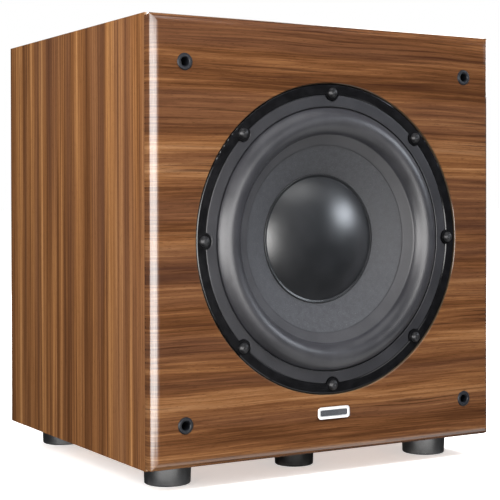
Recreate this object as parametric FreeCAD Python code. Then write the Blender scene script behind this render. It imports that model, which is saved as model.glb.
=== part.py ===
import FreeCAD, Part
import math
import os

# A powered subwoofer: a wooden box on rubber feet, with a 10-inch driver in front
# and an amplifier plate behind. Millimetres, +Z up, +Y towards the back.
# The origin is on the floor, under the middle of the whole object.
# A depth is a distance behind the front face of the baffle, so it is negative
# for what stands out in front.

# Cabinet
WIDTH = 343.5
HEIGHT = 360.0
DEPTH = 301.0
BOARD = 18.0
BAFFLE_THICKNESS = 25.0
BAFFLE_BAND = 9.3
BAFFLE_ROUND = 8.0
BAFFLE_CORNER = 4.0
BRACE_DEPTH = 160.0
BRACE_THICKNESS = 12.0
BRACE_BAR = 40.0
WADDING = 22.0

# Feet
FOOT_HEIGHT = 19.5
FOOT_RADIUS = 19.8
CENTRE_FOOT_RADIUS = 17.5
FOOT_X = 132.6
FRONT_FOOT_DEPTH = 47.9
REAR_FOOT_DEPTH = 267.0
CENTRE_FOOT_DEPTH = 62.0
FOOT_SCREW_RADIUS = 2.2
FOOT_SEAT = 14.0

# Grille sockets and badge
SOCKET_X = 140.8
SOCKET_Z = 143.7
SOCKET_DROP = 1.5
SOCKET_BORE = 3.6
SOCKET_BODY = 5.2
SOCKET_FLANGE = 7.0
SOCKET_DEPTH = 15.0
SOCKET_PROUD = 0.8
BADGE_HEIGHT_ABOVE_BASE = 34.0
BADGE_SIZE = (32.0, 10.0)
BADGE_THICKNESS = 1.2
BADGE_INLAY = 0.5

# Driver, as radii and depths
FRAME_RADIUS = 130.5
FRAME_FRONT = 1.0
FLANGE_BACK = 8.0
REBATE_RADIUS = 131.0
REBATE_DEPTH = 9.5
THROUGH_RADIUS = 113.0
SEAT_RADIUS = 121.6
SEAT_DEPTH = 5.5
SCREW_CIRCLE = 123.1
SCREW_COUNT = 8
SCREW_RADIUS = 2.4
SCREW_CLEARANCE = 0.3
PAD_RADIUS = 6.5
NOTCH_RADIUS = 7.0
ROLL_OUTER = 111.2
ROLL_INNER = 88.2
ROLL_CREST = -4.5
ROLL_THICKNESS = 1.2
GASKET_BACK = 4.0
LIP_THICKNESS = 0.9
GLUE = 0.3
CONE_RADIUS = 88.5
CONE_EDGE_DEPTH = 5.0
CONE_SLOPE = 0.5
CONE_THICKNESS = 1.8
LIP_RADIUS = 79.2
CAP_RADIUS = 52.6
CAP_APEX = 3.5
COIL_RADIUS = 26.1
FORMER_THICKNESS = 0.5
FORMER_BACK = 82.0
WINDING_THICKNESS = 1.6
WINDING = (55.0, 79.0)
SPIDER_RADIUS = 73.2
SPIDER_DEPTH = 50.0
SPIDER_THICKNESS = 0.8
SPIDER_LEDGE = 3.0
SPIDER_WAVES = 4
SPIDER_ROLL_EDGE = 60.0
SPIDER_WAVE_HEIGHT = 2.0
STRIP_THICKNESS = 2.5
BLADE_THICKNESS = 0.8
BLADE_WIDTH = 6.3
RIVET_X = (-8.0, 8.0)
RIVET_RADIUS = 1.5
RIVET_FRONT = 49.0
RIVET_BELOW = 84.0
TINSEL_RADIUS = 0.9
LEAD_RADIUS = 1.9
MOTOR_DEPTH = 63.0
PLATE = 8.0
MAGNET_HEIGHT = 22.0
MAGNET_RADIUS = 72.0
MAGNET_BORE = 45.0
MOTOR_PLATE_RADIUS = 66.0
POLE_RADIUS = 24.4
POLE_VENT = 6.0

# Amplifier, on a plate screwed over a cut-out in the back panel
PLATE_WIDTH = 214.0
PLATE_HEIGHT = 254.0
PLATE_THICKNESS = 3.0
CUTOUT = (184.0, 226.0)
PLATE_SCREW_X = 101.0
PLATE_SCREW_STEP = 59.0
PLATE_SCREW_RADIUS = 1.9
HEATSINK_REACH = 20.0
HEATSINK_X = (8.0, 94.0)
HEATSINK_Z = (-22.0, 112.0)
HEATSINK_FINS = 10
HEATSINK_WALL = 2.5
CONTROL_X = -50.0
LED_Z = 108.0
VOLUME_Z = 82.0
CROSSOVER_Z = 42.0
PHASE_Z = 8.0
PHASE_TRAVEL = 4.0
PHASE_SLOT = (12.8, 4.6)
LED_RADIUS = 1.5
BUSH_RADIUS = 3.5
BOLT_RADIUS = 3.0
JACK_Z = -24.0
JACK_PITCH = 28.0
JACK_RADIUS = 4.15
JACK_BORE = 3.25
INLET_PLACE = (-68.0, -84.0)
INLET_BODY = (28.0, 34.0)
SWITCH_PLACE = (-22.0, -84.0)
SWITCH_BODY = (15.2, 22.0)
FLANGE_THICKNESS = 2.0
DRAWER_BELOW = 9.5
WELL_ABOVE = 7.0
ROCKER_TILT = 9.0
ROCKER_PIN = 1.5
TRANSFORMER_PLACE = (46.0, -70.0)
TRANSFORMER_HEIGHT = 34.0
TRANSFORMER_PAD = 0.5
SHAFT_RADIUS = 3.0
SHAFT_END = 12.0
BOARD_X = (6.0, 88.0)
BOARD_Z = (0.0, 105.0)
BOARD_STANDOFF = 20.0
BOARD_THICKNESS = 1.6
STUB_RADIUS = 1.6
CAPACITOR = (12.5, 36.0)
TRANSISTOR = (15.6, 5.0, 21.0)

# Places that follow from those sizes
REAR_REACH = PLATE_THICKNESS + HEATSINK_REACH
FRONT = -(DEPTH + REAR_REACH + ROLL_CREST) / 2
MIDDLE = FOOT_HEIGHT + HEIGHT / 2
TOP = FOOT_HEIGHT + HEIGHT
INSIDE_X = WIDTH / 2 - BOARD
FACE = DEPTH + PLATE_THICKNESS
RIVET_Z = MIDDLE - RIVET_BELOW
BOARD_FRONT = DEPTH - BOARD_STANDOFF - BOARD_THICKNESS

Y_AXIS = FreeCAD.Vector(0, 1, 0)
X_AXIS = FreeCAD.Vector(1, 0, 0)
ORIGIN = FreeCAD.Vector(0, 0, 0)


def place(x, depth, z):
    return FreeCAD.Vector(x, FRONT + depth, z)


def block(x, depth, z):
    """A box between the two ends given for each direction."""
    corner = place(x[0], depth[0], z[0])
    return Part.makeBox(x[1] - x[0], depth[1] - depth[0], z[1] - z[0], corner)


def around(centre, half):
    return (centre - half, centre + half)


def rod(x, z, radius, depth):
    return Part.makeCylinder(radius, depth[1] - depth[0], place(x, depth[0], z), Y_AXIS)


def outline(corners):
    """A closed face. A corner that is a pair of points is an arc through the first to the second."""
    edges = []
    start = corners[0]
    for corner in corners[1:] + corners[:1]:
        if isinstance(corner[0], tuple):
            middle, end = corner
            ends = [FreeCAD.Vector(*p) for p in (start, middle, end)]
            edges.append(Part.Arc(*ends).toShape())
        else:
            end = corner
            ends = [FreeCAD.Vector(*p) for p in (start, end)]
            edges.append(Part.LineSegment(*ends).toShape())
        start = end
    return Part.Face(Part.Wire(edges))


def turned(corners, x=0.0, z=MIDDLE):
    """A turned solid from its radius and depth outline, on an axis that runs front to back."""
    solid = outline(corners).revolve(ORIGIN, Y_AXIS, 360)
    solid.translate(place(x, 0, z))
    return solid


def standing(corners, x, depth):
    """A turned solid from its radius and height outline, on an upright axis."""
    solid = outline(corners).revolve(ORIGIN, Y_AXIS, 360)
    solid.rotate(ORIGIN, X_AXIS, 90)
    solid.translate(place(x, depth, 0))
    return solid


def ring(outer, inner, depth):
    return turned([(inner, depth[0]), (outer, depth[0]), (outer, depth[1]), (inner, depth[1])])


def joined(first, others):
    return first.multiFuse(others).removeSplitter()


def with_round_corners(shape, radius):
    """The shape with its edges that run front to back rounded."""
    return shape.makeFillet(radius, [e for e in shape.Edges if abs(e.tangentAt(e.FirstParameter).y) > 0.9])


def screw(head_radius, head_height, shank_radius, length, key):
    """A round-headed screw on the Z axis, with its head below 0 and a hexagonal key hole of that radius."""
    edge = head_height * 0.4
    shoulder = (head_radius * 0.78, -head_height * 0.85)
    body = outline([(0, -head_height), (shoulder, (head_radius, -edge)), (head_radius, 0), (shank_radius, 0),
                    (shank_radius, length - shank_radius * 1.5), (0, length)])
    solid = body.revolve(ORIGIN, Y_AXIS, 360)
    corners = [FreeCAD.Vector(key * math.cos(a), -head_height, key * math.sin(a))
               for a in [math.radians(60 * k) for k in range(7)]]
    socket = Part.Face(Part.makePolygon(corners)).extrude(FreeCAD.Vector(0, head_height * 0.6, 0))
    solid = solid.cut(socket)
    solid.rotate(ORIGIN, X_AXIS, 90)
    return solid


def facing(shape, turn, position):
    """The shape turned about X from its upright position and moved into place."""
    copy = shape.copy()
    copy.rotate(ORIGIN, X_AXIS, turn)
    copy.translate(position)
    return copy


def lead(points, radius):
    """A round lead along straight runs that are joined by arcs as large as the runs allow."""
    points = [place(*p) for p in points]
    edges = []
    start = points[0]
    for before, corner, after in zip(points, points[1:], points[2:]):
        back = (before - corner).normalize()
        ahead = (after - corner).normalize()
        reach = 0.45 * min((before - corner).Length, (after - corner).Length)
        half_turn = (math.pi - back.getAngle(ahead)) / 2
        bisector = (back + ahead).normalize()
        arc_radius = reach / math.tan(half_turn)
        nearest = arc_radius / math.cos(half_turn) - arc_radius
        arc_start = corner + back * reach
        arc_end = corner + ahead * reach
        edges.append(Part.LineSegment(start, arc_start).toShape())
        edges.append(Part.Arc(arc_start, corner + bisector * nearest, arc_end).toShape())
        start = arc_end
    edges.append(Part.LineSegment(start, points[-1]).toShape())
    section = Part.Wire(Part.makeCircle(radius, points[0], points[1] - points[0]))
    return Part.Wire(edges).makePipeShell([section], True, True)


def save(name, *solids):
    shape = solids[0] if len(solids) == 1 else Part.makeCompound(solids)
    shape.exportStep("parts/" + name + ".step")


# ---- Cabinet ----

def rounded_slab(width, length):
    """A slab with its two long front edges rounded. It is centred, and its length is along Z."""
    half = width / 2
    flat = half - BAFFLE_ROUND
    bulge = BAFFLE_ROUND * math.sqrt(0.5)
    plan = outline([(-half, BAFFLE_BAND), (-half, BAFFLE_ROUND),
                    ((-flat - bulge, BAFFLE_ROUND - bulge), (-flat, 0)), (flat, 0),
                    ((flat + bulge, BAFFLE_ROUND - bulge), (half, BAFFLE_ROUND)), (half, BAFFLE_BAND)])
    plan.translate(FreeCAD.Vector(0, 0, -length / 2))
    return plan.extrude(FreeCAD.Vector(0, 0, length))


def screw_places():
    angles = [math.radians(360.0 * k / SCREW_COUNT) for k in range(SCREW_COUNT)]
    return [(SCREW_CIRCLE * math.cos(a), MIDDLE + SCREW_CIRCLE * math.sin(a)) for a in angles]


def socket_places():
    middle = MIDDLE - SOCKET_DROP
    return [(x, middle + z) for x in (-SOCKET_X, SOCKET_X) for z in (-SOCKET_Z, SOCKET_Z)]


def front_baffle():
    """The front board: its rounded band covers the ends of the box, and its tongue fits inside the box."""
    band = rounded_slab(WIDTH, HEIGHT)
    across = rounded_slab(HEIGHT, WIDTH)
    across.rotate(ORIGIN, Y_AXIS, 90)
    corners = Part.makeBox(WIDTH, BAFFLE_BAND, HEIGHT, FreeCAD.Vector(-WIDTH / 2, 0, -HEIGHT / 2))
    band = band.common(across).common(with_round_corners(corners, BAFFLE_CORNER))
    band.translate(place(0, 0, MIDDLE))
    tongue = block(around(0, INSIDE_X), (BAFFLE_BAND, BAFFLE_THICKNESS), around(MIDDLE, HEIGHT / 2 - BOARD))
    board = joined(band, [tongue])
    chamfer = 0.7
    opening = turned([(0, -1), (REBATE_RADIUS + chamfer + 1, -1), (REBATE_RADIUS, chamfer),
                      (REBATE_RADIUS, REBATE_DEPTH),
                      (THROUGH_RADIUS, REBATE_DEPTH), (THROUGH_RADIUS, BAFFLE_THICKNESS + 1),
                      (0, BAFFLE_THICKNESS + 1)])
    holes = [rod(x, z, SCREW_RADIUS, (REBATE_DEPTH - 1, 22.5)) for x, z in screw_places()]
    holes += [rod(x, z, SOCKET_BODY, (-1, SOCKET_DEPTH)) for x, z in socket_places()]
    return board.cut([opening] + holes)


def mitred_board(length, x, z, turn):
    """A board with both ends cut at 45 degrees, turned about the front-to-back axis, long face outwards."""
    half = length / 2
    inner = half - BOARD
    face = outline([(-half, 0), (half, 0), (inner, -BOARD), (-inner, -BOARD)])
    board = face.extrude(FreeCAD.Vector(0, 0, DEPTH - BAFFLE_BAND))
    board.rotate(ORIGIN, X_AXIS, 90)
    board.rotate(ORIGIN, FreeCAD.Vector(0, 0, 1), 180)
    board.rotate(ORIGIN, Y_AXIS, turn)
    board.translate(place(x, BAFFLE_BAND, z))
    return board


def foot_places():
    corners = {"front_left": (-FOOT_X, FRONT_FOOT_DEPTH), "front_right": (FOOT_X, FRONT_FOOT_DEPTH),
               "rear_left": (-FOOT_X, REAR_FOOT_DEPTH), "rear_right": (FOOT_X, REAR_FOOT_DEPTH)}
    return corners | {"centre": (0.0, CENTRE_FOOT_DEPTH)}


def foot_pilot(x, depth):
    return Part.makeCylinder(FOOT_SCREW_RADIUS, 16.0, place(x, depth, FOOT_HEIGHT - 1))


def bottom_panel():
    board = mitred_board(WIDTH, 0, FOOT_HEIGHT, 180)
    return board.cut([foot_pilot(x, depth) for x, depth in foot_places().values()])


def back_panel():
    board = block(around(0, INSIDE_X), (DEPTH - BOARD, DEPTH), around(MIDDLE, HEIGHT / 2 - BOARD))
    cutout = block(around(0, CUTOUT[0] / 2), (DEPTH - BOARD - 1, DEPTH + 1), around(MIDDLE, CUTOUT[1] / 2))
    holes = [rod(x, z, PLATE_SCREW_RADIUS, (DEPTH - 16, DEPTH + 1)) for x, z in plate_screw_places()]
    return board.cut([cutout] + holes)


def window_brace():
    """A frame glued across the box to stiffen its walls."""
    depth = (BRACE_DEPTH, BRACE_DEPTH + BRACE_THICKNESS)
    board = block(around(0, INSIDE_X), depth, around(MIDDLE, HEIGHT / 2 - BOARD))
    window = block(around(0, INSIDE_X - BRACE_BAR), (depth[0] - 1, depth[1] + 1),
                   around(MIDDLE, HEIGHT / 2 - BOARD - BRACE_BAR))
    return board.cut(with_round_corners(window, 25.0))


def acoustic_wadding():
    """Four fibre slabs that line the walls between the baffle and the brace."""
    front = 36.0
    gap = 0.5
    depth = (front, BRACE_DEPTH - 1)
    inside_z = HEIGHT / 2 - BOARD
    slabs = []
    for side in (-1, 1):
        x = sorted((side * (INSIDE_X - gap), side * (INSIDE_X - WADDING)))
        slabs.append(block(x, depth, around(MIDDLE, inside_z - gap)))
        z = sorted((MIDDLE + side * (inside_z - gap), MIDDLE + side * (inside_z - WADDING)))
        slabs.append(block(around(0, INSIDE_X - WADDING - gap), depth, z))
    return slabs


# ---- Feet, grille sockets and badge ----

def foot(radius, x, depth):
    """A rubber foot, with a pocket under it for its screw."""
    pocket = 6.0
    sole = radius - 0.6
    section = [(pocket, 0), (sole - 1.5, 0), ((sole - 0.44, 0.44), (sole, 1.5)), (radius, FOOT_HEIGHT),
               (FOOT_SCREW_RADIUS, FOOT_HEIGHT), (FOOT_SCREW_RADIUS, FOOT_SEAT), (pocket, FOOT_SEAT)]
    return standing(section, x, depth)


def foot_screws():
    pattern = screw(head_radius=4.5, head_height=2.6, shank_radius=FOOT_SCREW_RADIUS, length=20.0, key=2.0)
    return [facing(pattern, 0, place(x, depth, FOOT_SEAT)) for x, depth in foot_places().values()]


def grille_socket(x, z):
    """A flanged plastic cup that holds one peg of the grille."""
    floor = SOCKET_DEPTH - 2.5
    return turned([(SOCKET_BORE, -SOCKET_PROUD), (SOCKET_FLANGE - 0.8, -SOCKET_PROUD), (SOCKET_FLANGE, 0),
                   (SOCKET_BODY, 0), (SOCKET_BODY, SOCKET_DEPTH), (0, SOCKET_DEPTH), (0, floor),
                   (SOCKET_BORE, floor)], x, z)


def badge_slab(width, height, depth, corner):
    """A slab on the badge's place, with its four upright corners rounded."""
    slab = block(around(0, width / 2), depth, around(FOOT_HEIGHT + BADGE_HEIGHT_ABOVE_BASE, height / 2))
    return with_round_corners(slab, corner)


def badge_inlay(front):
    """The enamel field, from that front to the floor of the plate's pocket."""
    width, height = BADGE_SIZE
    rim = 2.5
    return badge_slab(width - 2 * rim, height - 2 * rim, (front, BADGE_INLAY - BADGE_THICKNESS), 1.5)


def badge_plate():
    slab = badge_slab(*BADGE_SIZE, (-BADGE_THICKNESS, 0), 3.0)
    return slab.cut(badge_inlay(-BADGE_THICKNESS - 1))


# ---- Driver ----

def cone_face(radius):
    """Depth of the cone's front face at that radius."""
    return CONE_EDGE_DEPTH + (CONE_RADIUS - radius) * CONE_SLOPE


def basket_window(angle):
    """A wedge that opens the frame between two arms, at that angle round the driver's axis."""
    reach = 130.0
    half = math.radians(31)
    front = 16.0
    length = 30.0
    corners = [(0, 0), (reach * math.cos(half), -reach * math.sin(half)),
               (reach * math.cos(half), reach * math.sin(half))]
    wedge = outline(corners).extrude(FreeCAD.Vector(0, 0, -length))
    wedge.rotate(ORIGIN, X_AXIS, 90)
    wedge.rotate(ORIGIN, Y_AXIS, angle)
    wedge.translate(place(0, front, MIDDLE))
    return wedge


def driver_basket():
    """The cast frame: a rim with screw pads, a seat for the surround, four arms and two inner ledges."""
    wall = 3.6
    rim_bore = 106.0
    neck_radius = 66.0
    neck_front = 60.0
    motor_bore = 34.0
    edge = 1.2
    seat_edge = 0.6
    ledge_depth = (SPIDER_DEPTH, SPIDER_DEPTH + SPIDER_LEDGE)
    rim = turned([(FRAME_RADIUS, FLANGE_BACK), (FRAME_RADIUS, FRAME_FRONT + edge),
                  ((FRAME_RADIUS - 0.35, FRAME_FRONT + 0.35), (FRAME_RADIUS - edge, FRAME_FRONT)),
                  (SEAT_RADIUS + seat_edge, FRAME_FRONT), (SEAT_RADIUS, FRAME_FRONT + seat_edge),
                  (SEAT_RADIUS, SEAT_DEPTH), (rim_bore, SEAT_DEPTH), (rim_bore, FLANGE_BACK),
                  (neck_radius, neck_front), (motor_bore, neck_front), (motor_bore, MOTOR_DEPTH),
                  (neck_radius + wall, MOTOR_DEPTH), (neck_radius + wall, neck_front),
                  (rim_bore + wall, FLANGE_BACK)])
    rim = rim.cut([basket_window(angle) for angle in (0, 90, 180, 270)])
    ledge = ring(neck_radius + 9.0, neck_radius - 5.0, ledge_depth)
    disc = rod(0, MIDDLE, FRAME_RADIUS - edge, (FRAME_FRONT, FLANGE_BACK))
    pads = [rod(x, z, PAD_RADIUS, (FRAME_FRONT, FLANGE_BACK)).common(disc) for x, z in screw_places()]
    tab = block(around(0, 17.0), ledge_depth, (MIDDLE - 90, MIDDLE - 70))
    basket = joined(rim, [ledge, tab] + pads)
    rivets = [rod(x, RIVET_Z, RIVET_RADIUS, (48, 55)) for x in RIVET_X]
    return basket.cut(screw_clearances() + rivets)


def screw_clearances():
    """The clearance holes for the driver's screws, through the frame and its gasket."""
    return [rod(x, z, SCREW_RADIUS + SCREW_CLEARANCE, (0, 12)) for x, z in screw_places()]


def driver_gasket():
    sheet = ring(FRAME_RADIUS, THROUGH_RADIUS, (FLANGE_BACK, REBATE_DEPTH))
    return sheet.cut(screw_clearances())


def screw_notches():
    return [rod(x, z, NOTCH_RADIUS, (-10, 12)) for x, z in screw_places()]


def surround_gasket_ring():
    """The flat rubber ring over the surround's rim, cut away round each screw."""
    gap = 0.2
    front = 1.6
    return ring(SEAT_RADIUS - gap, ROLL_OUTER + gap, (front, GASKET_BACK)).cut(screw_notches())


def surround():
    """The rubber half roll, with a flat outer rim and an inner lip glued on the cone."""
    rim = SEAT_RADIUS - 0.2
    foot = 1.4
    crest_radius = (ROLL_OUTER + ROLL_INNER) / 2
    under = ROLL_CREST + ROLL_THICKNESS
    lip_back = cone_face(LIP_RADIUS) - GLUE
    edge_back = CONE_EDGE_DEPTH - GLUE
    roll = turned([(rim, GASKET_BACK), (ROLL_OUTER, GASKET_BACK),
                   ((crest_radius, ROLL_CREST), (ROLL_INNER, edge_back - LIP_THICKNESS)),
                   (LIP_RADIUS, lip_back - LIP_THICKNESS), (LIP_RADIUS, lip_back),
                   (CONE_RADIUS, edge_back), (ROLL_INNER + foot, edge_back),
                   ((crest_radius, under), (ROLL_OUTER - foot, SEAT_DEPTH)), (rim, SEAT_DEPTH)])
    return roll.cut(screw_notches())


def cone():
    neck = cone_face(COIL_RADIUS)
    return turned([(CONE_RADIUS, CONE_EDGE_DEPTH), (CONE_RADIUS, CONE_EDGE_DEPTH + CONE_THICKNESS),
                   (COIL_RADIUS, neck + CONE_THICKNESS), (COIL_RADIUS, neck)])


def dome_point(share, apex, radius, edge):
    """A point on the round arc from the apex to the edge, at that share of the edge's radius."""
    height = edge - apex
    ball = (radius ** 2 + height ** 2) / (2 * height)
    across = radius * share
    return (across, apex + ball - math.sqrt(ball ** 2 - across ** 2))


def dust_cap():
    """A thin dome with a small lip that is glued on the cone."""
    edge = cone_face(CAP_RADIUS) - 1.6
    lip = CAP_RADIUS + 2.4
    inner = CAP_RADIUS - 1.0
    under = cone_face(inner)
    return turned([(0, CAP_APEX), (dome_point(0.6, CAP_APEX, CAP_RADIUS, edge), (CAP_RADIUS, edge)),
                   (lip - 0.4, cone_face(lip) - 1.2), (lip, cone_face(lip) - 0.8), (lip, cone_face(lip)),
                   (inner, under), (dome_point(0.6, CAP_APEX + 1, inner, under), (0, CAP_APEX + 1))])


def voice_coil_former():
    """The foil tube that joins the cone's neck to the winding, a little proud of the cone."""
    proud = 1.5
    front = cone_face(COIL_RADIUS) - proud
    return ring(COIL_RADIUS, COIL_RADIUS - FORMER_THICKNESS, (front, FORMER_BACK))


def voice_coil():
    return ring(COIL_RADIUS + WINDING_THICKNESS, COIL_RADIUS, WINDING)


def spider():
    """The corrugated cloth disc that centres the coil, with a flat rim on the basket's ledge."""
    front = SPIDER_DEPTH - SPIDER_THICKNESS
    flat = 5.0
    first = COIL_RADIUS + flat
    step = (SPIDER_ROLL_EDGE - first) / (2 * SPIDER_WAVES)
    waves = []
    for k in range(2 * SPIDER_WAVES):
        middle = first + step * (k + 0.5)
        height = SPIDER_WAVE_HEIGHT if k % 2 else -SPIDER_WAVE_HEIGHT
        waves.append((middle, first + step * (k + 1), height))
    front_side = [((m, front + h), (end, front)) for m, end, h in waves]
    back_side = [((m, SPIDER_DEPTH + h), (end - step, SPIDER_DEPTH)) for m, end, h in reversed(waves)]
    neck = COIL_RADIUS + GLUE
    rim = [(SPIDER_RADIUS, front), (SPIDER_RADIUS, SPIDER_DEPTH), (SPIDER_ROLL_EDGE, SPIDER_DEPTH)]
    return turned([(neck, front), (first, front)] + front_side + rim + back_side + [(neck, SPIDER_DEPTH)])


def pole_piece():
    """The back plate with the pole in its middle, vented through the axis."""
    plate_front = MOTOR_DEPTH + PLATE + MAGNET_HEIGHT
    plate_back = plate_front + PLATE
    return turned([(POLE_VENT, MOTOR_DEPTH), (POLE_RADIUS, MOTOR_DEPTH), (POLE_RADIUS, plate_front),
                   (MOTOR_PLATE_RADIUS, plate_front), (MOTOR_PLATE_RADIUS, plate_back),
                   (POLE_VENT, plate_back)])


def magnet_boot():
    """The rubber cover round the magnet, open in the middle of its back."""
    front = MOTOR_DEPTH + PLATE
    back = front + MAGNET_HEIGHT + PLATE
    inner = MAGNET_RADIUS + 0.3
    outer = inner + 2.5
    opening = 60.0
    inside = back + 0.2
    outside = back + 1.8
    return turned([(inner, front), (outer, front), (outer, outside), (opening, outside), (opening, inside),
                   (inner, inside)])


def terminal_strip():
    """The paper board on the back of the frame's lower ledge."""
    front = SPIDER_DEPTH + SPIDER_LEDGE
    strip = block(around(0, 15.0), (front, front + STRIP_THICKNESS), (MIDDLE - 92, MIDDLE - 76.5))
    return strip.cut([rod(x, RIVET_Z, RIVET_RADIUS, (48, 58)) for x in RIVET_X])


def driver_terminals():
    """Two brass blades behind the strip, each riveted through it."""
    front = SPIDER_DEPTH + SPIDER_LEDGE + STRIP_THICKNESS
    inside = front + BLADE_THICKNESS / 2
    blades = []
    for x in RIVET_X:
        depth = (front, front + BLADE_THICKNESS)
        blade = block(around(x, BLADE_WIDTH / 2), depth, (MIDDLE - 100, MIDDLE - 80))
        blades.append(joined(blade, [rod(x, RIVET_Z, RIVET_RADIUS, (RIVET_FRONT, inside))]))
    return blades


def tinsel_leads():
    """The two flexible braids from the rivets to the back of the cone."""
    end = cone_face(48) + CONE_THICKNESS + 1.6
    return [lead([(x, RIVET_FRONT - 0.1, RIVET_Z), (x, 39.0, RIVET_Z), (x, 36.0, RIVET_Z + 20),
                  (x, end, MIDDLE - 48)], TINSEL_RADIUS) for x in RIVET_X]


def driver_screws():
    pattern = screw(head_radius=4.3, head_height=2.8, shank_radius=SCREW_RADIUS, length=21.0, key=2.3)
    return [facing(pattern, -90, place(x, FRAME_FRONT, z)) for x, z in screw_places()]


def speaker_leads():
    """The two leads from the amplifier's board to the driver, through the window of the brace."""
    routes = []
    for x in RIVET_X:
        routes.append([(x, 55.9, 99.3), (x, 62, 83), (x, 88, 81), (x + 1, 130, 84), (x + 2, 180, 87),
                       (x + 10, 222, 92), (x + 20, 246, 116), (x + 28, 253, 155), (x + 30, 254, 186),
                       (x + 30, 256, 216), (x + 30, BOARD_FRONT - 0.2, 216)])
    return [lead(route, LEAD_RADIUS) for route in routes]


# ---- Amplifier ----

def plate_screw_places():
    heights = [MIDDLE + step * PLATE_SCREW_STEP for step in (-2, -1, 0, 1, 2)]
    return [(x, z) for x in (-PLATE_SCREW_X, PLATE_SCREW_X) for z in heights]


def jack_places():
    return [(CONTROL_X + step * JACK_PITCH, MIDDLE + JACK_Z) for step in (-1, 0, 1)]


def knob_places():
    return [(CONTROL_X, MIDDLE + VOLUME_Z), (CONTROL_X, MIDDLE + CROSSOVER_Z)]


def board_corners():
    inset = 5.0
    columns = (BOARD_X[0] + inset, BOARD_X[1] - inset)
    rows = (MIDDLE + BOARD_Z[0] + inset, MIDDLE + BOARD_Z[1] - inset)
    return [(x, z) for x in columns for z in rows]


def inlet_centre():
    return INLET_PLACE[0], MIDDLE + INLET_PLACE[1]


def switch_centre():
    return SWITCH_PLACE[0], MIDDLE + SWITCH_PLACE[1]


def amp_plate():
    plate = block(around(0, PLATE_WIDTH / 2), (DEPTH, FACE), around(MIDDLE, PLATE_HEIGHT / 2))
    plate = with_round_corners(plate, 4.0)
    through = (DEPTH - 1, FACE + 1)
    holes = [rod(x, z, PLATE_SCREW_RADIUS, through) for x, z in plate_screw_places()]
    holes += [rod(x, z, JACK_RADIUS, through) for x, z in jack_places()]
    holes += [rod(x, z, BUSH_RADIUS, through) for x, z in knob_places()]
    holes.append(rod(CONTROL_X, MIDDLE + LED_Z, LED_RADIUS, through))
    holes.append(rod(TRANSFORMER_PLACE[0], MIDDLE + TRANSFORMER_PLACE[1], BOLT_RADIUS, through))
    phase_centre = (CONTROL_X, MIDDLE + PHASE_Z)
    windows = [(phase_centre, PHASE_SLOT), (inlet_centre(), INLET_BODY), (switch_centre(), SWITCH_BODY)]
    for (x, z), (width, height) in windows:
        holes.append(block(around(x, width / 2), through, around(z, height / 2)))
    return plate.cut(holes)


def amp_screws():
    pattern = screw(head_radius=3.6, head_height=2.2, shank_radius=PLATE_SCREW_RADIUS, length=18.0, key=1.7)
    return [facing(pattern, 90, place(x, FACE, z)) for x, z in plate_screw_places()]


def heatsink():
    """A finned extrusion, bolted on the outside of the plate."""
    z = (MIDDLE + HEATSINK_Z[0], MIDDLE + HEATSINK_Z[1])
    left, right = HEATSINK_X
    base = block(HEATSINK_X, (FACE, FACE + 4), z)
    pitch = (right - left - HEATSINK_WALL) / (HEATSINK_FINS - 1)
    starts = [left + k * pitch for k in range(HEATSINK_FINS)]
    fins = [block((start, start + HEATSINK_WALL), (FACE + 3, FACE + HEATSINK_REACH), z) for start in starts]
    return joined(base, fins)


def circuit_board():
    back = DEPTH - BOARD_STANDOFF
    board = block(BOARD_X, (BOARD_FRONT, back), (MIDDLE + BOARD_Z[0], MIDDLE + BOARD_Z[1]))
    return board.cut([rod(x, z, STUB_RADIUS, (back - 3, back + 1)) for x, z in board_corners()])


def board_standoff(x, z):
    """A pillar on the plate, with a stub that passes through the board."""
    back = DEPTH - BOARD_STANDOFF
    return joined(rod(x, z, 3.0, (back, DEPTH)), [rod(x, z, STUB_RADIUS, (back - 3, back + 1))])


def toroidal_transformer():
    """A wound ring with rounded shoulders, on a thin pad on the plate."""
    x, offset = TRANSFORMER_PLACE
    inner = 13.0
    outer = 42.0
    shoulder = 5.0
    back = DEPTH - TRANSFORMER_PAD
    front = back - TRANSFORMER_HEIGHT
    bend = 1.5
    section = [(inner, front + shoulder), ((inner + bend, front + bend), (inner + shoulder, front)),
               (outer - shoulder, front), ((outer - bend, front + bend), (outer, front + shoulder)),
               (outer, back), (inner, back)]
    return turned(section, x, MIDDLE + offset)


def transformer_clamp():
    """The dished washer and long bolt that hold the transformer on the plate."""
    x, offset = TRANSFORMER_PLACE
    washer = 30.0
    head = 5.5
    front = DEPTH - TRANSFORMER_PAD - TRANSFORMER_HEIGHT
    return turned([(0, front - 8), (head, front - 8), (head, front - 3), (washer, front - 1.5),
                   (washer, front), (BOLT_RADIUS, front), (BOLT_RADIUS, FACE), (0, FACE)], x, MIDDLE + offset)


def reservoir_capacitors():
    radius, length = CAPACITOR
    return [rod(x, MIDDLE + 78, radius, (BOARD_FRONT - length, BOARD_FRONT)) for x in (32, 64)]


def output_transistors():
    width, thickness, height = TRANSISTOR
    depth = (DEPTH - thickness, DEPTH)
    return [block(around(x, width / 2), depth, around(MIDDLE + 50, height / 2)) for x in (24, 44, 64)]


def rca_sleeve(x, z):
    """The outer contact of one phono socket, with its nut on the plate."""
    back = DEPTH - 6
    end = FACE + 11
    nut = 6.5
    nut_face = FACE + 2.2
    section = [(JACK_BORE, back), (JACK_RADIUS, back), (JACK_RADIUS, FACE), (nut, FACE), (nut, nut_face),
               (JACK_RADIUS, nut_face), (JACK_RADIUS, end), (JACK_BORE, end)]
    return turned(section, x, z)


def rca_insulator(x, z):
    pin_bore = 1.7
    front = DEPTH - 2
    end = FACE + 10
    return turned([(pin_bore, front), (JACK_BORE, front), (JACK_BORE, end), (pin_bore, end)], x, z)


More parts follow.
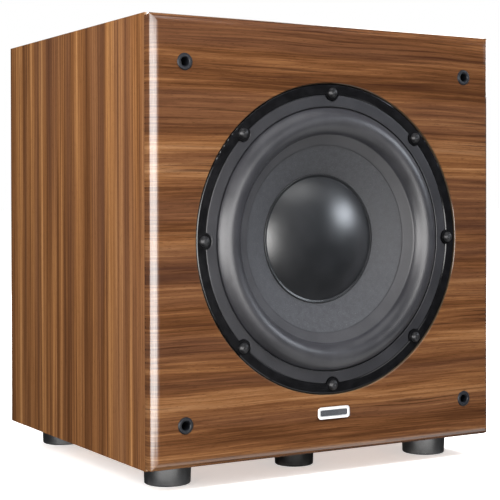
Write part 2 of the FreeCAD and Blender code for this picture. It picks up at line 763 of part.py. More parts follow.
def mains_inlet():
    """The appliance inlet, with a slot under it for the fuse drawer."""
    x, z = inlet_centre()
    width, height = INLET_BODY
    flange = block(around(x, 17.0), (FACE, FACE + FLANGE_THICKNESS), around(z, 20.0))
    body = block(around(x, width / 2), (DEPTH - 21, FACE), around(z, height / 2))
    well = block(around(x, 12.3), (DEPTH - 15, FACE + 3), around(z + WELL_ABOVE, 8.3))
    slot = block(around(x, 11.2), (DEPTH - 17, FACE + 3), around(z - DRAWER_BELOW, 4.7))
    return joined(flange, [body]).cut([with_round_corners(well, 3.0), slot] + inlet_pins())


def inlet_pins():
    """Three flat pins through the floor of the well, the earth pin above the other two."""
    x, z = inlet_centre()
    depth = (DEPTH - 18, FACE - 4)
    offsets = [(-7.0, -2.0), (7.0, -2.0), (0.0, 2.0)]
    return [block(around(x + dx, 1.0), depth, around(z + WELL_ABOVE + dz, 2.0)) for dx, dz in offsets]


def fuse_drawer():
    """The drawer that holds the fuse, with a finger lip at its lower edge."""
    x, z = inlet_centre()
    drawer = block(around(x, 11.0), (DEPTH - 16.5, FACE + 2.6), around(z - DRAWER_BELOW, 4.5))
    tray = block(around(x, 10.2), (DEPTH - 14, DEPTH + 0.5), (z - 12.5, z))
    grip = block(around(x, 5.0), (FACE + 1.2, FACE + 3), (z - 15, z - 12.6))
    return drawer.cut([tray, grip])


def mains_switch_bezel():
    """The switch's housing, with a well for the rocker and a bore for its pins."""
    x, z = switch_centre()
    width, height = SWITCH_BODY
    flange = block(around(x, 9.5), (FACE, FACE + FLANGE_THICKNESS), around(z, 13.0))
    body = block(around(x, width / 2), (DEPTH - 17, FACE), around(z, height / 2))
    well = block(around(x, 6.4), (DEPTH - 13, FACE + 3), around(z, 9.9))
    bore_length = 14.4
    bore_radius = ROCKER_PIN + 0.06
    pivot = Part.makeCylinder(bore_radius, bore_length, place(x - bore_length / 2, DEPTH - 1, z), X_AXIS)
    return joined(flange, [body]).cut([well, pivot])


def mains_rocker():
    """The rocker, at rest with its upper end pressed in. Its two stub pins turn in the bezel."""
    x, z = switch_centre()
    half = 8.2
    width = 12.2
    pin_length = 14.0
    face = outline([(-half, -3.0), (-4.0, -7.0), (4.0, -7.0), (half, -3.0), (half, 7.6),
                    ((0, 6.0), (-half, 7.6))])
    rocker = face.extrude(FreeCAD.Vector(0, 0, width))
    rocker.rotate(ORIGIN, Y_AXIS, 90)
    rocker.translate(FreeCAD.Vector(-width / 2, 0, 0))
    pins = Part.makeCylinder(ROCKER_PIN, pin_length, FreeCAD.Vector(-pin_length / 2, 0, 0), X_AXIS)
    rocker = joined(rocker, [pins])
    rocker.rotate(ORIGIN, X_AXIS, ROCKER_TILT)
    rocker.translate(place(x, DEPTH - 1, z))
    return rocker


def status_led():
    shoulder = FACE + 0.4
    bulge = LED_RADIUS * math.sqrt(0.5)
    return turned([(0, DEPTH - 3), (LED_RADIUS, DEPTH - 3), (LED_RADIUS, shoulder),
                   ((bulge, shoulder + bulge), (0, shoulder + LED_RADIUS))], CONTROL_X, MIDDLE + LED_Z)


def control_pot(x, z):
    """A rotary control behind the plate: its can, threaded bush and nut."""
    bore = SHAFT_RADIUS + 0.05
    can = 8.5
    nut = 5.8
    nut_face = FACE + 2
    section = [(bore, DEPTH - 10), (can, DEPTH - 10), (can, DEPTH), (BUSH_RADIUS, DEPTH), (BUSH_RADIUS, FACE),
               (nut, FACE), (nut, nut_face), (bore, nut_face)]
    return turned(section, x, z)


def control_shaft(x, z):
    return rod(x, z, SHAFT_RADIUS, (DEPTH - 9, FACE + SHAFT_END))


def control_knob(x, z):
    """A fluted knob with a pointer groove. Its skirt covers the nut."""
    bottom = FACE + 0.8
    top = FACE + 15.0
    skirt = bottom + 3.2
    skirt_radius = 11.5
    grip_radius = 10.2
    nut_bore = 6.6
    nut_room = FACE + 3
    hub_end = FACE + SHAFT_END
    body = turned([(nut_bore, bottom), (skirt_radius, bottom), (skirt_radius, bottom + 2.5),
                   (grip_radius, skirt), (9.7, top - 1), (8.7, top), (0, top), (0, hub_end),
                   (SHAFT_RADIUS, hub_end), (SHAFT_RADIUS, nut_room), (nut_bore, nut_room)], x, z)
    cutters = [block(around(x, 0.6), (top - 0.8, top + 1), (z + 2, z + 12))]
    flutes = 18
    flute_circle = grip_radius + 0.2
    for k in range(flutes):
        angle = 2 * math.pi * (k + 0.5) / flutes
        across = flute_circle * math.cos(angle)
        up = flute_circle * math.sin(angle)
        cutters.append(rod(x + across, z + up, 0.9, (skirt, top + 1)))
    return body.cut(cutters)


def phase_switch_body():
    z = MIDDLE + PHASE_Z
    width, height = PHASE_SLOT
    body = block(around(CONTROL_X, 11.0), (DEPTH - 9, DEPTH), around(z, 5.0))
    return body.cut(block(around(CONTROL_X, width / 2), (DEPTH - 6, DEPTH + 1), around(z, height / 2)))


def phase_slider():
    """The sliding knob of the phase switch, at the left end of its slot."""
    x = CONTROL_X - PHASE_TRAVEL / 2
    z = MIDDLE + PHASE_Z
    carriage = block(around(x, 4.0), (DEPTH - 5.5, DEPTH - 1), around(z, 2.0))
    knob = block(around(x, 2.2), (DEPTH - 1.5, FACE + 3.2), around(z, 1.9))
    return joined(carriage, [knob])


def save_cabinet():
    save("front_baffle", front_baffle())
    save("left_side_panel", mitred_board(HEIGHT, -WIDTH / 2, MIDDLE, -90))
    save("right_side_panel", mitred_board(HEIGHT, WIDTH / 2, MIDDLE, 90))
    save("top_panel", mitred_board(WIDTH, 0, TOP, 0))
    save("bottom_panel", bottom_panel())
    save("back_panel", back_panel())
    save("window_brace", window_brace())
    save("acoustic_wadding", *acoustic_wadding())
    for name, (x, depth) in foot_places().items():
        radius = CENTRE_FOOT_RADIUS if name == "centre" else FOOT_RADIUS
        save(name + "_foot", foot(radius, x, depth))
    save("foot_screws", *foot_screws())
    save("grille_sockets", *[grille_socket(x, z) for x, z in socket_places()])
    save("badge_plate", badge_plate())
    save("badge_inlay", badge_inlay(-BADGE_THICKNESS + 0.15))


def save_driver():
    save("driver_basket", driver_basket())
    save("driver_gasket", driver_gasket())
    save("surround_gasket_ring", surround_gasket_ring())
    save("surround", surround())
    save("cone", cone())
    save("dust_cap", dust_cap())
    save("voice_coil_former", voice_coil_former())
    save("voice_coil", voice_coil())
    save("spider", spider())
    magnet_front = MOTOR_DEPTH + PLATE
    coil_gap = 2.5
    save("top_plate", ring(MOTOR_PLATE_RADIUS, COIL_RADIUS + coil_gap, (MOTOR_DEPTH, magnet_front)))
    save("magnet_ring", ring(MAGNET_RADIUS, MAGNET_BORE, (magnet_front, magnet_front + MAGNET_HEIGHT)))
    save("pole_piece", pole_piece())
    save("magnet_boot", magnet_boot())
    save("terminal_strip", terminal_strip())
    save("driver_terminals", *driver_terminals())
    save("tinsel_leads", *tinsel_leads())
    save("driver_screws", *driver_screws())
    save("speaker_leads", *speaker_leads())


def save_amplifier():
    save("amp_plate", amp_plate())
    save("amp_screws", *amp_screws())
    save("heatsink", heatsink())
    save("circuit_board", circuit_board())
    save("board_standoffs", *[board_standoff(x, z) for x, z in board_corners()])
    save("toroidal_transformer", toroidal_transformer())
    save("transformer_clamp", transformer_clamp())
    save("reservoir_capacitors", *reservoir_capacitors())
    save("output_transistors", *output_transistors())
    save("rca_sleeves", *[rca_sleeve(x, z) for x, z in jack_places()])
    save("rca_insulators", *[rca_insulator(x, z) for x, z in jack_places()])
    save("mains_inlet", mains_inlet())
    save("inlet_pins", *inlet_pins())
    save("fuse_drawer", fuse_drawer())
    save("mains_switch_bezel", mains_switch_bezel())
    save("mains_rocker", mains_rocker())
    save("status_led", status_led())
    save("control_pots", *[control_pot(x, z) for x, z in knob_places()])
    for name, (x, z) in zip(("volume", "crossover"), knob_places()):
        save(name + "_shaft", control_shaft(x, z))
        save(name + "_knob", control_knob(x, z))
    save("phase_switch_body", phase_switch_body())
    save("phase_slider", phase_slider())


os.makedirs("parts", exist_ok=True)
save_cabinet()
save_driver()
save_amplifier()
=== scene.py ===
import bmesh
import bpy
import math
from mathutils import Matrix, Vector, noise
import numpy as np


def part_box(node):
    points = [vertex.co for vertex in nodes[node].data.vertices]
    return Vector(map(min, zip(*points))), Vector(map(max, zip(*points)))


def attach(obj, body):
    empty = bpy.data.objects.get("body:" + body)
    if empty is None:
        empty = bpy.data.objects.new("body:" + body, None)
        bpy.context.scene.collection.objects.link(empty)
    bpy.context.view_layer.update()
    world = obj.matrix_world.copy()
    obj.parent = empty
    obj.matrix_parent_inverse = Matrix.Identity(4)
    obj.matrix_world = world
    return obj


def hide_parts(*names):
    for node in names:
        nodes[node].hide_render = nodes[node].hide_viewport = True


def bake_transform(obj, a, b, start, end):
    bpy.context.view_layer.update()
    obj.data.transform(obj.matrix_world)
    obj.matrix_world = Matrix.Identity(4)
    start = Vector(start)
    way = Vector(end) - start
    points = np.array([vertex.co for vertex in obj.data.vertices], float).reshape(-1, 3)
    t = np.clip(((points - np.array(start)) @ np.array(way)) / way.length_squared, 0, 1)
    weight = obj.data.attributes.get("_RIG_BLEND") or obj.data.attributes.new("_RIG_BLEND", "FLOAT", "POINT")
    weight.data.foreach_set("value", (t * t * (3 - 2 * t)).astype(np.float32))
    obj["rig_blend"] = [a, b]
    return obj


# A powered subwoofer: a walnut-foiled box on rubber feet with a 10-inch driver in front and an amplifier
# plate behind. Metres, +Z up, +Y towards the back, origin on the floor under the middle.

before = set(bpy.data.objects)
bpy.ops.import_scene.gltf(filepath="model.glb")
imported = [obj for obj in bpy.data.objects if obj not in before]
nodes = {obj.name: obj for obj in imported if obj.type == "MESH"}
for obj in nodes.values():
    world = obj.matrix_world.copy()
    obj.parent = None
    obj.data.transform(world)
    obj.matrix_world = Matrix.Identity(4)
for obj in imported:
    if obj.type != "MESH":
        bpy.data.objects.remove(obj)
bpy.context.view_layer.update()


# ---- Box walls ----
# The four walls are 18 mm fibreboard, mitred at the corners and folded round from one sheet.
# Their outside is a printed walnut foil with an embossed grain. The inside is left bare.

class Wire:
    """One socket of a finish. Arithmetic on it adds Math nodes, and node() adds any other node."""

    def __init__(self, tree, socket=None):
        self.tree = tree
        self.socket = socket

    def node(self, kind, settings=None, inputs=None, output=0):
        made = self.tree.nodes.new("ShaderNode" + kind)
        for name, value in (settings or {}).items():
            if name == "stops":
                stops = made.color_ramp.elements
                while len(stops) < len(value):
                    stops.new(0.5)
                for stop, (position, colour) in zip(stops, value):
                    stop.position = position
                    stop.color = (*colour, 1.0)
            else:
                setattr(made, name, value)
        for name, value in (inputs or {}).items():
            if isinstance(value, Wire):
                self.tree.links.new(value.socket, made.inputs[name])
            else:
                made.inputs[name].default_value = value
        return Wire(self.tree, made.outputs[output])

    def sum(self, operation, first, second):
        return self.node("Math", {"operation": operation}, {0: first, 1: second})

    def __add__(self, other):
        return self.sum("ADD", self, other)

    def __radd__(self, other):
        return self.sum("ADD", other, self)

    def __sub__(self, other):
        return self.sum("SUBTRACT", self, other)

    def __rsub__(self, other):
        return self.sum("SUBTRACT", other, self)

    def __mul__(self, other):
        return self.sum("MULTIPLY", self, other)

    def __rmul__(self, other):
        return self.sum("MULTIPLY", other, self)

    def __lt__(self, other):
        return self.sum("LESS_THAN", self, other)

    def __gt__(self, other):
        return self.sum("GREATER_THAN", self, other)

    def __or__(self, other):
        return self.sum("MAXIMUM", self, other)

    def step(self, low, high):
        """0 below low, 1 above high and a smooth rise between them."""
        ends = {"Value": self, "From Min": low, "From Max": high}
        return self.node("MapRange", {"interpolation_type": "SMOOTHSTEP"}, ends)

    def mix(self, off, on):
        """The colour off where this is 0, and on where it is 1."""
        inputs = {0: self}
        for socket, colour in ((6, off), (7, on)):
            inputs[socket] = colour if isinstance(colour, Wire) else (*colour, 1.0)
        return self.node("Mix", {"data_type": "RGBA"}, inputs, 2)

    def grain(self, size, detail=2.0, roughness=0.5, output="Fac"):
        """Noise on this position. size is a patch's size, one number or one for each axis."""
        sizes = [size] * 3 if isinstance(size, float) else size
        laid = self.node("Mapping", {}, {"Vector": self, "Scale": [1 / s for s in sizes]})
        inputs = {"Vector": laid, "Scale": 1.0, "Detail": detail, "Roughness": roughness}
        return self.node("TexNoise", {}, inputs, output)

    def along(self, axis):
        return self.node("SeparateXYZ", {}, {0: self}, axis)

    def vector(self, operation, other=(0.0, 0.0, 0.0), output="Vector"):
        return self.node("VectorMath", {"operation": operation}, {0: self, 1: other}, output)

    def sine(self):
        return self.node("Math", {"operation": "SINE"}, {0: self})

    def relief(self, depth):
        """A normal from this height, where a height of 1 stands that many metres proud."""
        return self.node("Bump", {}, {"Height": self, "Distance": depth, "Strength": 1.0}, "Normal")


def new_finish(name):
    """A material with one Principled shader, and the wire of its surface's own position."""
    finish = bpy.data.materials.new(name)
    finish.use_nodes = True
    return finish, Wire(finish.node_tree).node("TexCoord", output="Object")


def shade(finish, **sockets):
    """Sets or links the shader's sockets. An underscore in a name stands for a space."""
    shader = finish.node_tree.nodes["Principled BSDF"]
    for name, value in sockets.items():
        socket = shader.inputs[name.replace("_", " ")]
        if isinstance(value, Wire):
            finish.node_tree.links.new(value.socket, socket)
        else:
            socket.default_value = value
    return finish


def dress(node, finish):
    """Gives a CAD node its finish."""
    slots = nodes[node].data.materials
    slots.clear()
    slots.append(finish)


# The walls' foil is painted paler than the baffle's, as painted light standing in for lamp light that the
# walls get less of, and it is less red.
WALL_PAINTED_LIGHT = (1.50, 1.64, 1.85)


def walnut(name, along, foiled, offset, run=1.0, tint_and_painted_light=WALL_PAINTED_LIGHT, lacquer=lambda place: 0.12, bare=1.0):
    """Walnut foil over fibreboard. along names the axes that the grain follows round the edges,
    foiled(place) is 1 where there is foil, and offset picks another stretch of the print.
    run lengthens and straightens its grain, and the tint multiplies its colours; on the walls that tint also
    paints them paler, as painted light.
    lacquer(place) is its clear coat, and bare shades the board where there is no foil."""
    finish, place = new_finish(name)
    spot = place.node("Mapping", {}, {"Vector": place, "Location": offset})

    def lengthwise(width, length):
        return [length if axis in along else width for axis in "XYZ"]

    drift = spot.grain(lengthwise(0.06, 0.26 * run), output="Color")
    drift = drift.vector("SUBTRACT", (0.5, 0.5, 0.5)).vector("MULTIPLY", lengthwise(0.013 / run, 0.0))
    bent = spot.vector("ADD", drift)
    bands = bent.grain(lengthwise(0.020, 0.6 * run), 2.0)
    lines = bent.grain(lengthwise(0.0032, 0.22 * run), 4.0, 0.6)
    fibres = bent.grain(lengthwise(0.0011, 0.050 * run), 3.0, 0.65)
    groups = bent.grain(lengthwise(0.013, 0.30 * run), 1.0).step(0.44, 0.58)
    veins = bent.grain(lengthwise(0.0022, 0.10 * run), 3.0, 0.6).step(0.52, 0.64) * groups
    hues = bent.grain(lengthwise(0.03, 0.5), 1.0).step(0.42, 0.62)
    pores = bent.grain(lengthwise(0.00035, 0.006), 1.0).step(0.62, 0.72)
    tone = bands * 0.42 + lines * 0.34 + fibres * 0.24

    def with_tint_and_painted_light(red, green, blue):
        return red * tint_and_painted_light[0], green * tint_and_painted_light[1], blue * tint_and_painted_light[2]

    stops = [(0.36, with_tint_and_painted_light(0.042, 0.015, 0.006)), (0.44, with_tint_and_painted_light(0.080, 0.030, 0.010)),
             (0.50, with_tint_and_painted_light(0.134, 0.052, 0.017)), (0.56, with_tint_and_painted_light(0.210, 0.089, 0.029)),
             (0.64, with_tint_and_painted_light(0.315, 0.154, 0.060))]
    foil = tone.node("ValToRGB", {"stops": stops}, {"Fac": tone}, "Color")
    plum = (hues * 0.35).mix(foil, with_tint_and_painted_light(0.090, 0.040, 0.022))
    veined = (veins * 0.72).mix(plum, with_tint_and_painted_light(0.034, 0.012, 0.006))
    printed = (pores * 0.45).mix(veined, (0.030, 0.012, 0.006))
    dust = place.grain(0.0009, 3.0, 0.7)
    board = dust.mix([bare * c for c in (0.30, 0.205, 0.125)], [bare * c for c in (0.50, 0.37, 0.24)])
    skin = foiled(place)
    height = skin * (fibres * 0.5 - pores * 0.8) + (1 - skin) * dust
    gloss = skin * (0.30 + fibres * 0.10 + pores * 0.15) + (1 - skin) * 0.85
    return shade(finish, Base_Color=skin.mix(board, printed), Roughness=gloss, Specular_IOR_Level=0.0,
                 Normal=height.relief(0.00005), Coat_Weight=skin * lacquer(place), Coat_Roughness=0.13)


FOIL_THICKNESS = 0.0004
baffle_low, baffle_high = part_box("front_baffle")
FRONT = baffle_low.y
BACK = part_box("back_panel")[1].y - FOIL_THICKNESS
LEFT = baffle_low.x + FOIL_THICKNESS
RIGHT = baffle_high.x - FOIL_THICKNESS
BASE = baffle_low.z + FOIL_THICKNESS
TOP = baffle_high.z - FOIL_THICKNESS

walls = [("left_side", "Z", lambda place: place.along("X") < LEFT, (0.31, 0.07, 0.22), 2.4),
         ("right_side", "Z", lambda place: place.along("X") > RIGHT, (1.73, 0.52, 0.91), 2.4),
         ("top", "X", lambda place: place.along("Z") > TOP, (2.40, 1.10, 0.35), 1.8),
         ("bottom", "X", lambda place: place.along("Z") < BASE, (3.15, 1.94, 0.66), 1.8)]
for wall, along, outside, offset, run in walls:
    name = "walnut_" + wall.replace("_side", "")
    dress(wall + "_panel", walnut(name, along, lambda p: outside(p) | (p.along("Y") > BACK), offset, run))


# ---- Front baffle ----
# A 25 mm board, rounded along its four front edges, foiled in one piece with its grain across the box.
# It is rebated for the driver's frame and glued into the front of the walls by its tongue.

BAND_BACK = FRONT + 0.0095
REBATE = 0.1312
cone_low, cone_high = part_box("cone")
AXIS = (cone_low + cone_high) / 2
AXIS.y = 0.0


def radius_round_axis(place):
    """Distance from the driver's axis."""
    return place.vector("SUBTRACT", AXIS).vector("MULTIPLY", (1, 0, 1)).vector("LENGTH", output="Value")


def baffle_foil(place):
    """The foil covers the band in front of the walls, up to the rebate's edge."""
    return (radius_round_axis(place) > REBATE) * (place.along("Y") < BAND_BACK)


def baffle_lacquer(place):
    """The rounded edges are buffed up to a high gloss."""
    return place.along("Y").step(FRONT + 0.00003, FRONT + 0.0004) * 0.92 + 0.08


dress("front_baffle", walnut("walnut_front", "XY", baffle_foil, (0.57, 0.36, 0.148),
                             tint_and_painted_light=(0.91, 0.955, 1.14), lacquer=baffle_lacquer, bare=0.2))


# ---- Back panel and brace ----
# The back is a plain board with a cut-out for the amplifier, painted black with a roller.
# The brace is a bare fibreboard frame glued across the inside of the box.

def grained(name, low, high, roughness, size, depth, metallic=0.0, patchy=0.08, **more):
    """A finish whose colour, gloss and surface change with a fine grain and with slow patches."""
    finish, place = new_finish(name)
    fine = place.grain(size, 3.0, 0.6)
    slow = place.grain(0.06, 2.0)
    tint = (fine * 0.6 + slow * 0.4).step(0.32, 0.68)
    gloss = roughness - patchy + slow * (2 * patchy)
    return shade(finish, Base_Color=tint.mix(low, high), Roughness=gloss, Normal=fine.relief(depth),
                 Metallic=metallic, **more)


dress("back_panel", grained("black_paint", (0.010, 0.010, 0.011), (0.020, 0.020, 0.021), 0.50, 0.0016,
                            0.00010))
dress("window_brace", grained("bare_fibreboard", (0.30, 0.20, 0.12), (0.50, 0.37, 0.24), 0.85, 0.0010,
                              0.00008))


# ---- Acoustic wadding ----
# Four slabs of polyester fibre wadding line the walls behind the driver.
# They are cut from a roll, stapled on and left loose, so their faces swell and their edges are soft.

def placed(name, data):
    """Puts an object with this data into the scene."""
    piece = bpy.data.objects.new(name, data)
    bpy.context.scene.collection.objects.link(piece)
    return piece


def new_piece(name, mesh, finish, body, stands_for=(), crease=35.0):
    """Makes the bmesh a piece that rides on a body and stands for CAD nodes."""
    data = bpy.data.meshes.new(name)
    mesh.to_mesh(data)
    mesh.free()
    data.materials.append(finish)
    data.shade_smooth()
    data.set_sharp_from_angle(angle=math.radians(crease))
    piece = placed(name, data)
    if body:
        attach(piece, body)
    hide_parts(*stands_for)
    return piece


def soft_slab(name, low, high, seed):
    """A slab of wadding between two corners, pulled in at its edges and uneven on its faces."""
    mesh = bmesh.new()
    bmesh.ops.create_cube(mesh, size=1.0)
    bmesh.ops.subdivide_edges(mesh, edges=mesh.edges, cuts=15, use_grid_fill=True)
    size = high - low
    middle = (low + high) / 2
    across = list(size).index(min(size))
    shift = Vector((seed, seed * 2.3, seed * 0.7))
    lumps_per_metre = 28.0
    for vert in mesh.verts:
        inner = Vector([1 - (2 * abs(c)) ** 6 for c in vert.co])
        edge = min(1.0, sum(sorted(inner)[1:]) / 1.2)
        spot = Vector([c * s for c, s in zip(vert.co, size)])
        lump = noise.fractal((spot + shift) * lumps_per_metre, 1.0, 2.0, 3)
        thick = 0.62 + 0.28 * edge + 0.10 * lump
        wide = 0.955 + 0.030 * edge
        for axis in range(3):
            spot[axis] *= thick if axis == across else wide
        vert.co = middle + spot
    bmesh.ops.smooth_vert(mesh, verts=mesh.verts, factor=0.5, use_axis_x=True, use_axis_y=True,
                          use_axis_z=True)
    return new_piece(name, mesh, wadding_finish, "cabinet")


def wadding_look():
    finish, place = new_finish("polyester_wadding")
    tangle = place.grain((0.004, 0.0007, 0.0007), 4.0, 0.7) + place.grain((0.0007, 0.0007, 0.004), 4.0, 0.7)
    clumps = place.grain(0.02, 3.0)
    white = (tangle * 0.35 + clumps * 0.3).step(0.35, 0.65)
    return shade(finish, Base_Color=white.mix((0.50, 0.50, 0.49), (0.80, 0.80, 0.78)), Roughness=0.95,
                 Normal=(tangle * 0.5 + clumps).relief(0.0008), Sheen_Weight=0.4)


wadding_finish = wadding_look()
low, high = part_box("acoustic_wadding")
SLAB = 0.0215
GAP = 0.001
inset = Vector((SLAB + GAP, 0, 0))
slabs = [("left", low, Vector((low.x + SLAB, high.y, high.z))),
         ("right", Vector((high.x - SLAB, low.y, low.z)), high),
         ("lower", low + inset, Vector((high.x - SLAB - GAP, high.y, low.z + SLAB))),
         ("upper", Vector((low.x + SLAB + GAP, low.y, high.z - SLAB)), high - inset)]
for count, (name, start, end) in enumerate(slabs):
    slab = soft_slab("wadding_" + name, start, end, 3.1 * count + 1.7)
    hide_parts("acoustic_wadding")


# ---- Feet ----
# Five moulded rubber feet, each held up against the box by one screw in a deep pocket.
# The mould leaves a dull grain, a rounded lower edge and a shallow groove under the top.

MM = 0.001
UP = Vector((0, 0, 1))
INWARD = Vector((0, 1, 0))


def turned(outline, centre, axis, steps=96, closed=True):
    """A mesh turned about an axis through centre, from radii and places along the axis in millimetres."""
    mesh = bmesh.new()
    corners = [mesh.verts.new(centre + Vector((r * MM, 0, 0)) + axis * (along * MM)) for r, along in outline]
    lines = [mesh.edges.new(pair) for pair in zip(corners, corners[1:])]
    if closed:
        lines.append(mesh.edges.new((corners[-1], corners[0])))
    bmesh.ops.spin(mesh, geom=corners + lines, cent=centre, axis=axis, angle=2 * math.pi, steps=steps,
                   use_merge=True)
    bmesh.ops.remove_doubles(mesh, verts=mesh.verts, dist=1e-6)
    bmesh.ops.recalc_face_normals(mesh, faces=mesh.faces)
    return mesh


def soften(mesh, radius, segments=2, sharper_than=30.0):
    """Rounds every edge that turns by more than an angle."""
    turns = math.radians(sharper_than)
    edges = [e for e in mesh.edges if len(e.link_faces) == 2 and e.calc_face_angle() > turns]
    bmesh.ops.bevel(mesh, geom=edges, offset=radius * MM, affect="EDGES", segments=segments, profile=0.5,
                    material=-1, clamp_overlap=True)
    return mesh


def foot_rubber_look(name, low, high, sheen):
    """Black rubber with a dull grain, paler with dust near the floor."""
    finish, place = new_finish(name)
    fine = place.grain(0.0007, 3.0, 0.6)
    slow = place.grain(0.012, 3.0)
    dust = (1 - place.along("Z").step(0.0, 0.007)) * slow.step(0.35, 0.75)
    rubber = (fine * 0.5 + slow * 0.5).step(0.35, 0.65).mix(low, high)
    return shade(finish, Base_Color=(dust * 0.5).mix(rubber, (0.09, 0.085, 0.08)),
                 Roughness=0.36 + slow * 0.14 + dust * 0.2, Normal=fine.relief(0.00006),
                 Specular_IOR_Level=sheen)


foot_finish = foot_rubber_look("foot_rubber", (0.012, 0.013, 0.015), (0.027, 0.029, 0.032), 0.34)
# The centre foot's rubber is painted darker and given little sheen, as painted shade for the shadow it sits
# in under the box.
centre_foot_shaded_finish = foot_rubber_look("centre_foot_painted_shade_rubber", (0.004, 0.004, 0.004), (0.008, 0.008, 0.008),
                                      0.07)
POCKET = 6.0
for name in ("front_left_foot", "front_right_foot", "rear_left_foot", "rear_right_foot", "centre_foot"):
    low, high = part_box(name)
    radius = (high.x - low.x) / 2 / MM
    height = high.z / MM
    sole = radius - 0.6
    groove = height - 3.0
    outline = [(POCKET, 0), (sole - 1.5, 0), (sole - 0.9, 0.15), (sole - 0.4, 0.45), (sole - 0.1, 0.9),
               (sole, 1.5), (radius - 0.1, groove - 0.5), (radius - 0.5, groove - 0.2),
               (radius - 0.5, groove + 0.2), (radius - 0.1, groove + 0.5), (radius, height), (2.2, height),
               (2.2, 14.0), (POCKET, 14.0)]
    centre = Vector(((low.x + high.x) / 2, (low.y + high.y) / 2, 0))
    foot = soften(turned(outline, centre, UP, 128), 0.25, 2, 50.0)
    finish = centre_foot_shaded_finish if name == "centre_foot" else foot_finish
    new_piece(name + "_moulded", foot, finish, "cabinet", [name])


def plated(name, low, high, roughness, metallic=1.0):
    """Metal with fine turning and handling scratches and a slightly uneven plating."""
    finish, place = new_finish(name)
    scratches = place.grain((0.0002, 0.004, 0.0012), 2.0, 0.6).step(0.35, 0.75)
    cloud = place.grain(0.005, 3.0)
    gloss = roughness + scratches * 0.10 + cloud * 0.10
    return shade(finish, Base_Color=(scratches * 0.4 + cloud * 0.6).mix(low, high), Metallic=metallic,
                 Roughness=gloss, Normal=scratches.relief(0.00001))


dress("foot_screws", plated("zinc_plate", (0.50, 0.51, 0.53), (0.72, 0.73, 0.74), 0.28))


# ---- Grille sockets ----
# Four plastic cups pressed into the baffle take the pegs of the grille.
# Each has a raised collar with a rounded lip, and a plain bore with a floor.

socket_finish = grained("socket_plastic", (0.005, 0.006, 0.008), (0.012, 0.013, 0.017), 0.40, 0.0004,
                        0.00002, Specular_IOR_Level=0.16)
FLANGE = 7.0
BORE = 3.6
CUP = 5.2
CUP_FLOOR = 12.5
CUP_END = 15.0
low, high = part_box("grille_sockets")
first = Vector((low.x + FLANGE * MM, FRONT, low.z + FLANGE * MM))
apart_x = Vector((high.x - low.x - 2 * FLANGE * MM, 0, 0))
apart_z = Vector((0, 0, high.z - low.z - 2 * FLANGE * MM))
cup = [(0, CUP_FLOOR), (BORE, CUP_FLOOR), (BORE, -0.2), (BORE + 0.6, -0.8), (FLANGE - 0.9, -0.8),
       (FLANGE, 0.1), (CUP, 0.1), (CUP, CUP_END), (0, CUP_END)]


def copied(mesh, whole):
    """Adds a copy of these parts to their mesh, and returns its corners."""
    copy = bmesh.ops.duplicate(mesh, geom=whole)["geom"]
    return [part for part in copy if isinstance(part, bmesh.types.BMVert)]


sockets = soften(turned(cup, first, INWARD, 48, closed=False), 0.22)
one_socket = sockets.verts[:] + sockets.edges[:] + sockets.faces[:]
for move in (apart_x, apart_z, apart_x + apart_z):
    bmesh.ops.translate(sockets, verts=copied(sockets, one_socket), vec=move)
new_piece("grille_sockets_moulded", sockets, socket_finish, "cabinet", ["grille_sockets"])


# ---- Badge ----
# A small stamped metal plate with a brushed rim is glued on the baffle under the driver.
# Its sunk field is filled with dark enamel. It carries no lettering.

def brushed(name, low, high, roughness, lines, metallic=1.0):
    """Metal brushed in one direction. lines is the size of a brush mark along X, Y and Z."""
    finish, place = new_finish(name)
    marks = place.grain(lines, 3.0, 0.65)
    cloud = place.grain(0.01, 2.0)
    return shade(finish, Base_Color=(marks * 0.7 + cloud * 0.3).step(0.3, 0.7).mix(low, high),
                 Metallic=metallic, Roughness=roughness + marks * 0.18, Normal=marks.relief(0.000015))


def block(mesh, middle, size, turn=0.0):
    """Adds a block to the mesh, turned about its middle in the baffle's plane."""
    made = bmesh.ops.create_cube(mesh, size=1.0)["verts"]
    bmesh.ops.scale(mesh, verts=made, vec=size)
    bmesh.ops.rotate(mesh, verts=made, cent=(0, 0, 0), matrix=Matrix.Rotation(turn, 3, "Y"))
    bmesh.ops.translate(mesh, verts=made, vec=middle)


CORNER = 3.0
BORDER = 2.3
low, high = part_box("badge_plate")
badge = bmesh.new()
block(badge, (low + high) / 2, high - low)
upright = [e for e in badge.edges if abs((e.verts[0].co - e.verts[1].co).normalized().y) > 0.9]
bmesh.ops.bevel(badge, geom=upright, offset=CORNER * MM, affect="EDGES", segments=8, profile=0.5,
                material=-1)
front_face = min(badge.faces, key=lambda f: f.calc_center_median().y)
bmesh.ops.inset_region(badge, faces=[front_face], thickness=BORDER * MM, use_even_offset=True)
bmesh.ops.inset_region(badge, faces=[front_face], thickness=0.2 * MM, depth=-0.55 * MM,
                       use_even_offset=True)
soften(badge, 0.18)
badge_finish = brushed("badge_metal", (0.66, 0.66, 0.67), (0.88, 0.88, 0.89), 0.30, (0.006, 0.0001, 0.0001))
new_piece("badge_stamped", badge, badge_finish, "cabinet", ["badge_plate"])
dress("badge_inlay", grained("badge_enamel", (0.05, 0.053, 0.062), (0.09, 0.094, 0.105), 0.22, 0.0007,
                             0.000008, Coat_Weight=0.5, Coat_Roughness=0.05))


# ---- Driver frame and its gasket ----
# The driver's frame is cast aluminium with four arms, sprayed satin black, and screws into the rebate.
# A thin ring of cellular rubber seals it to the baffle.

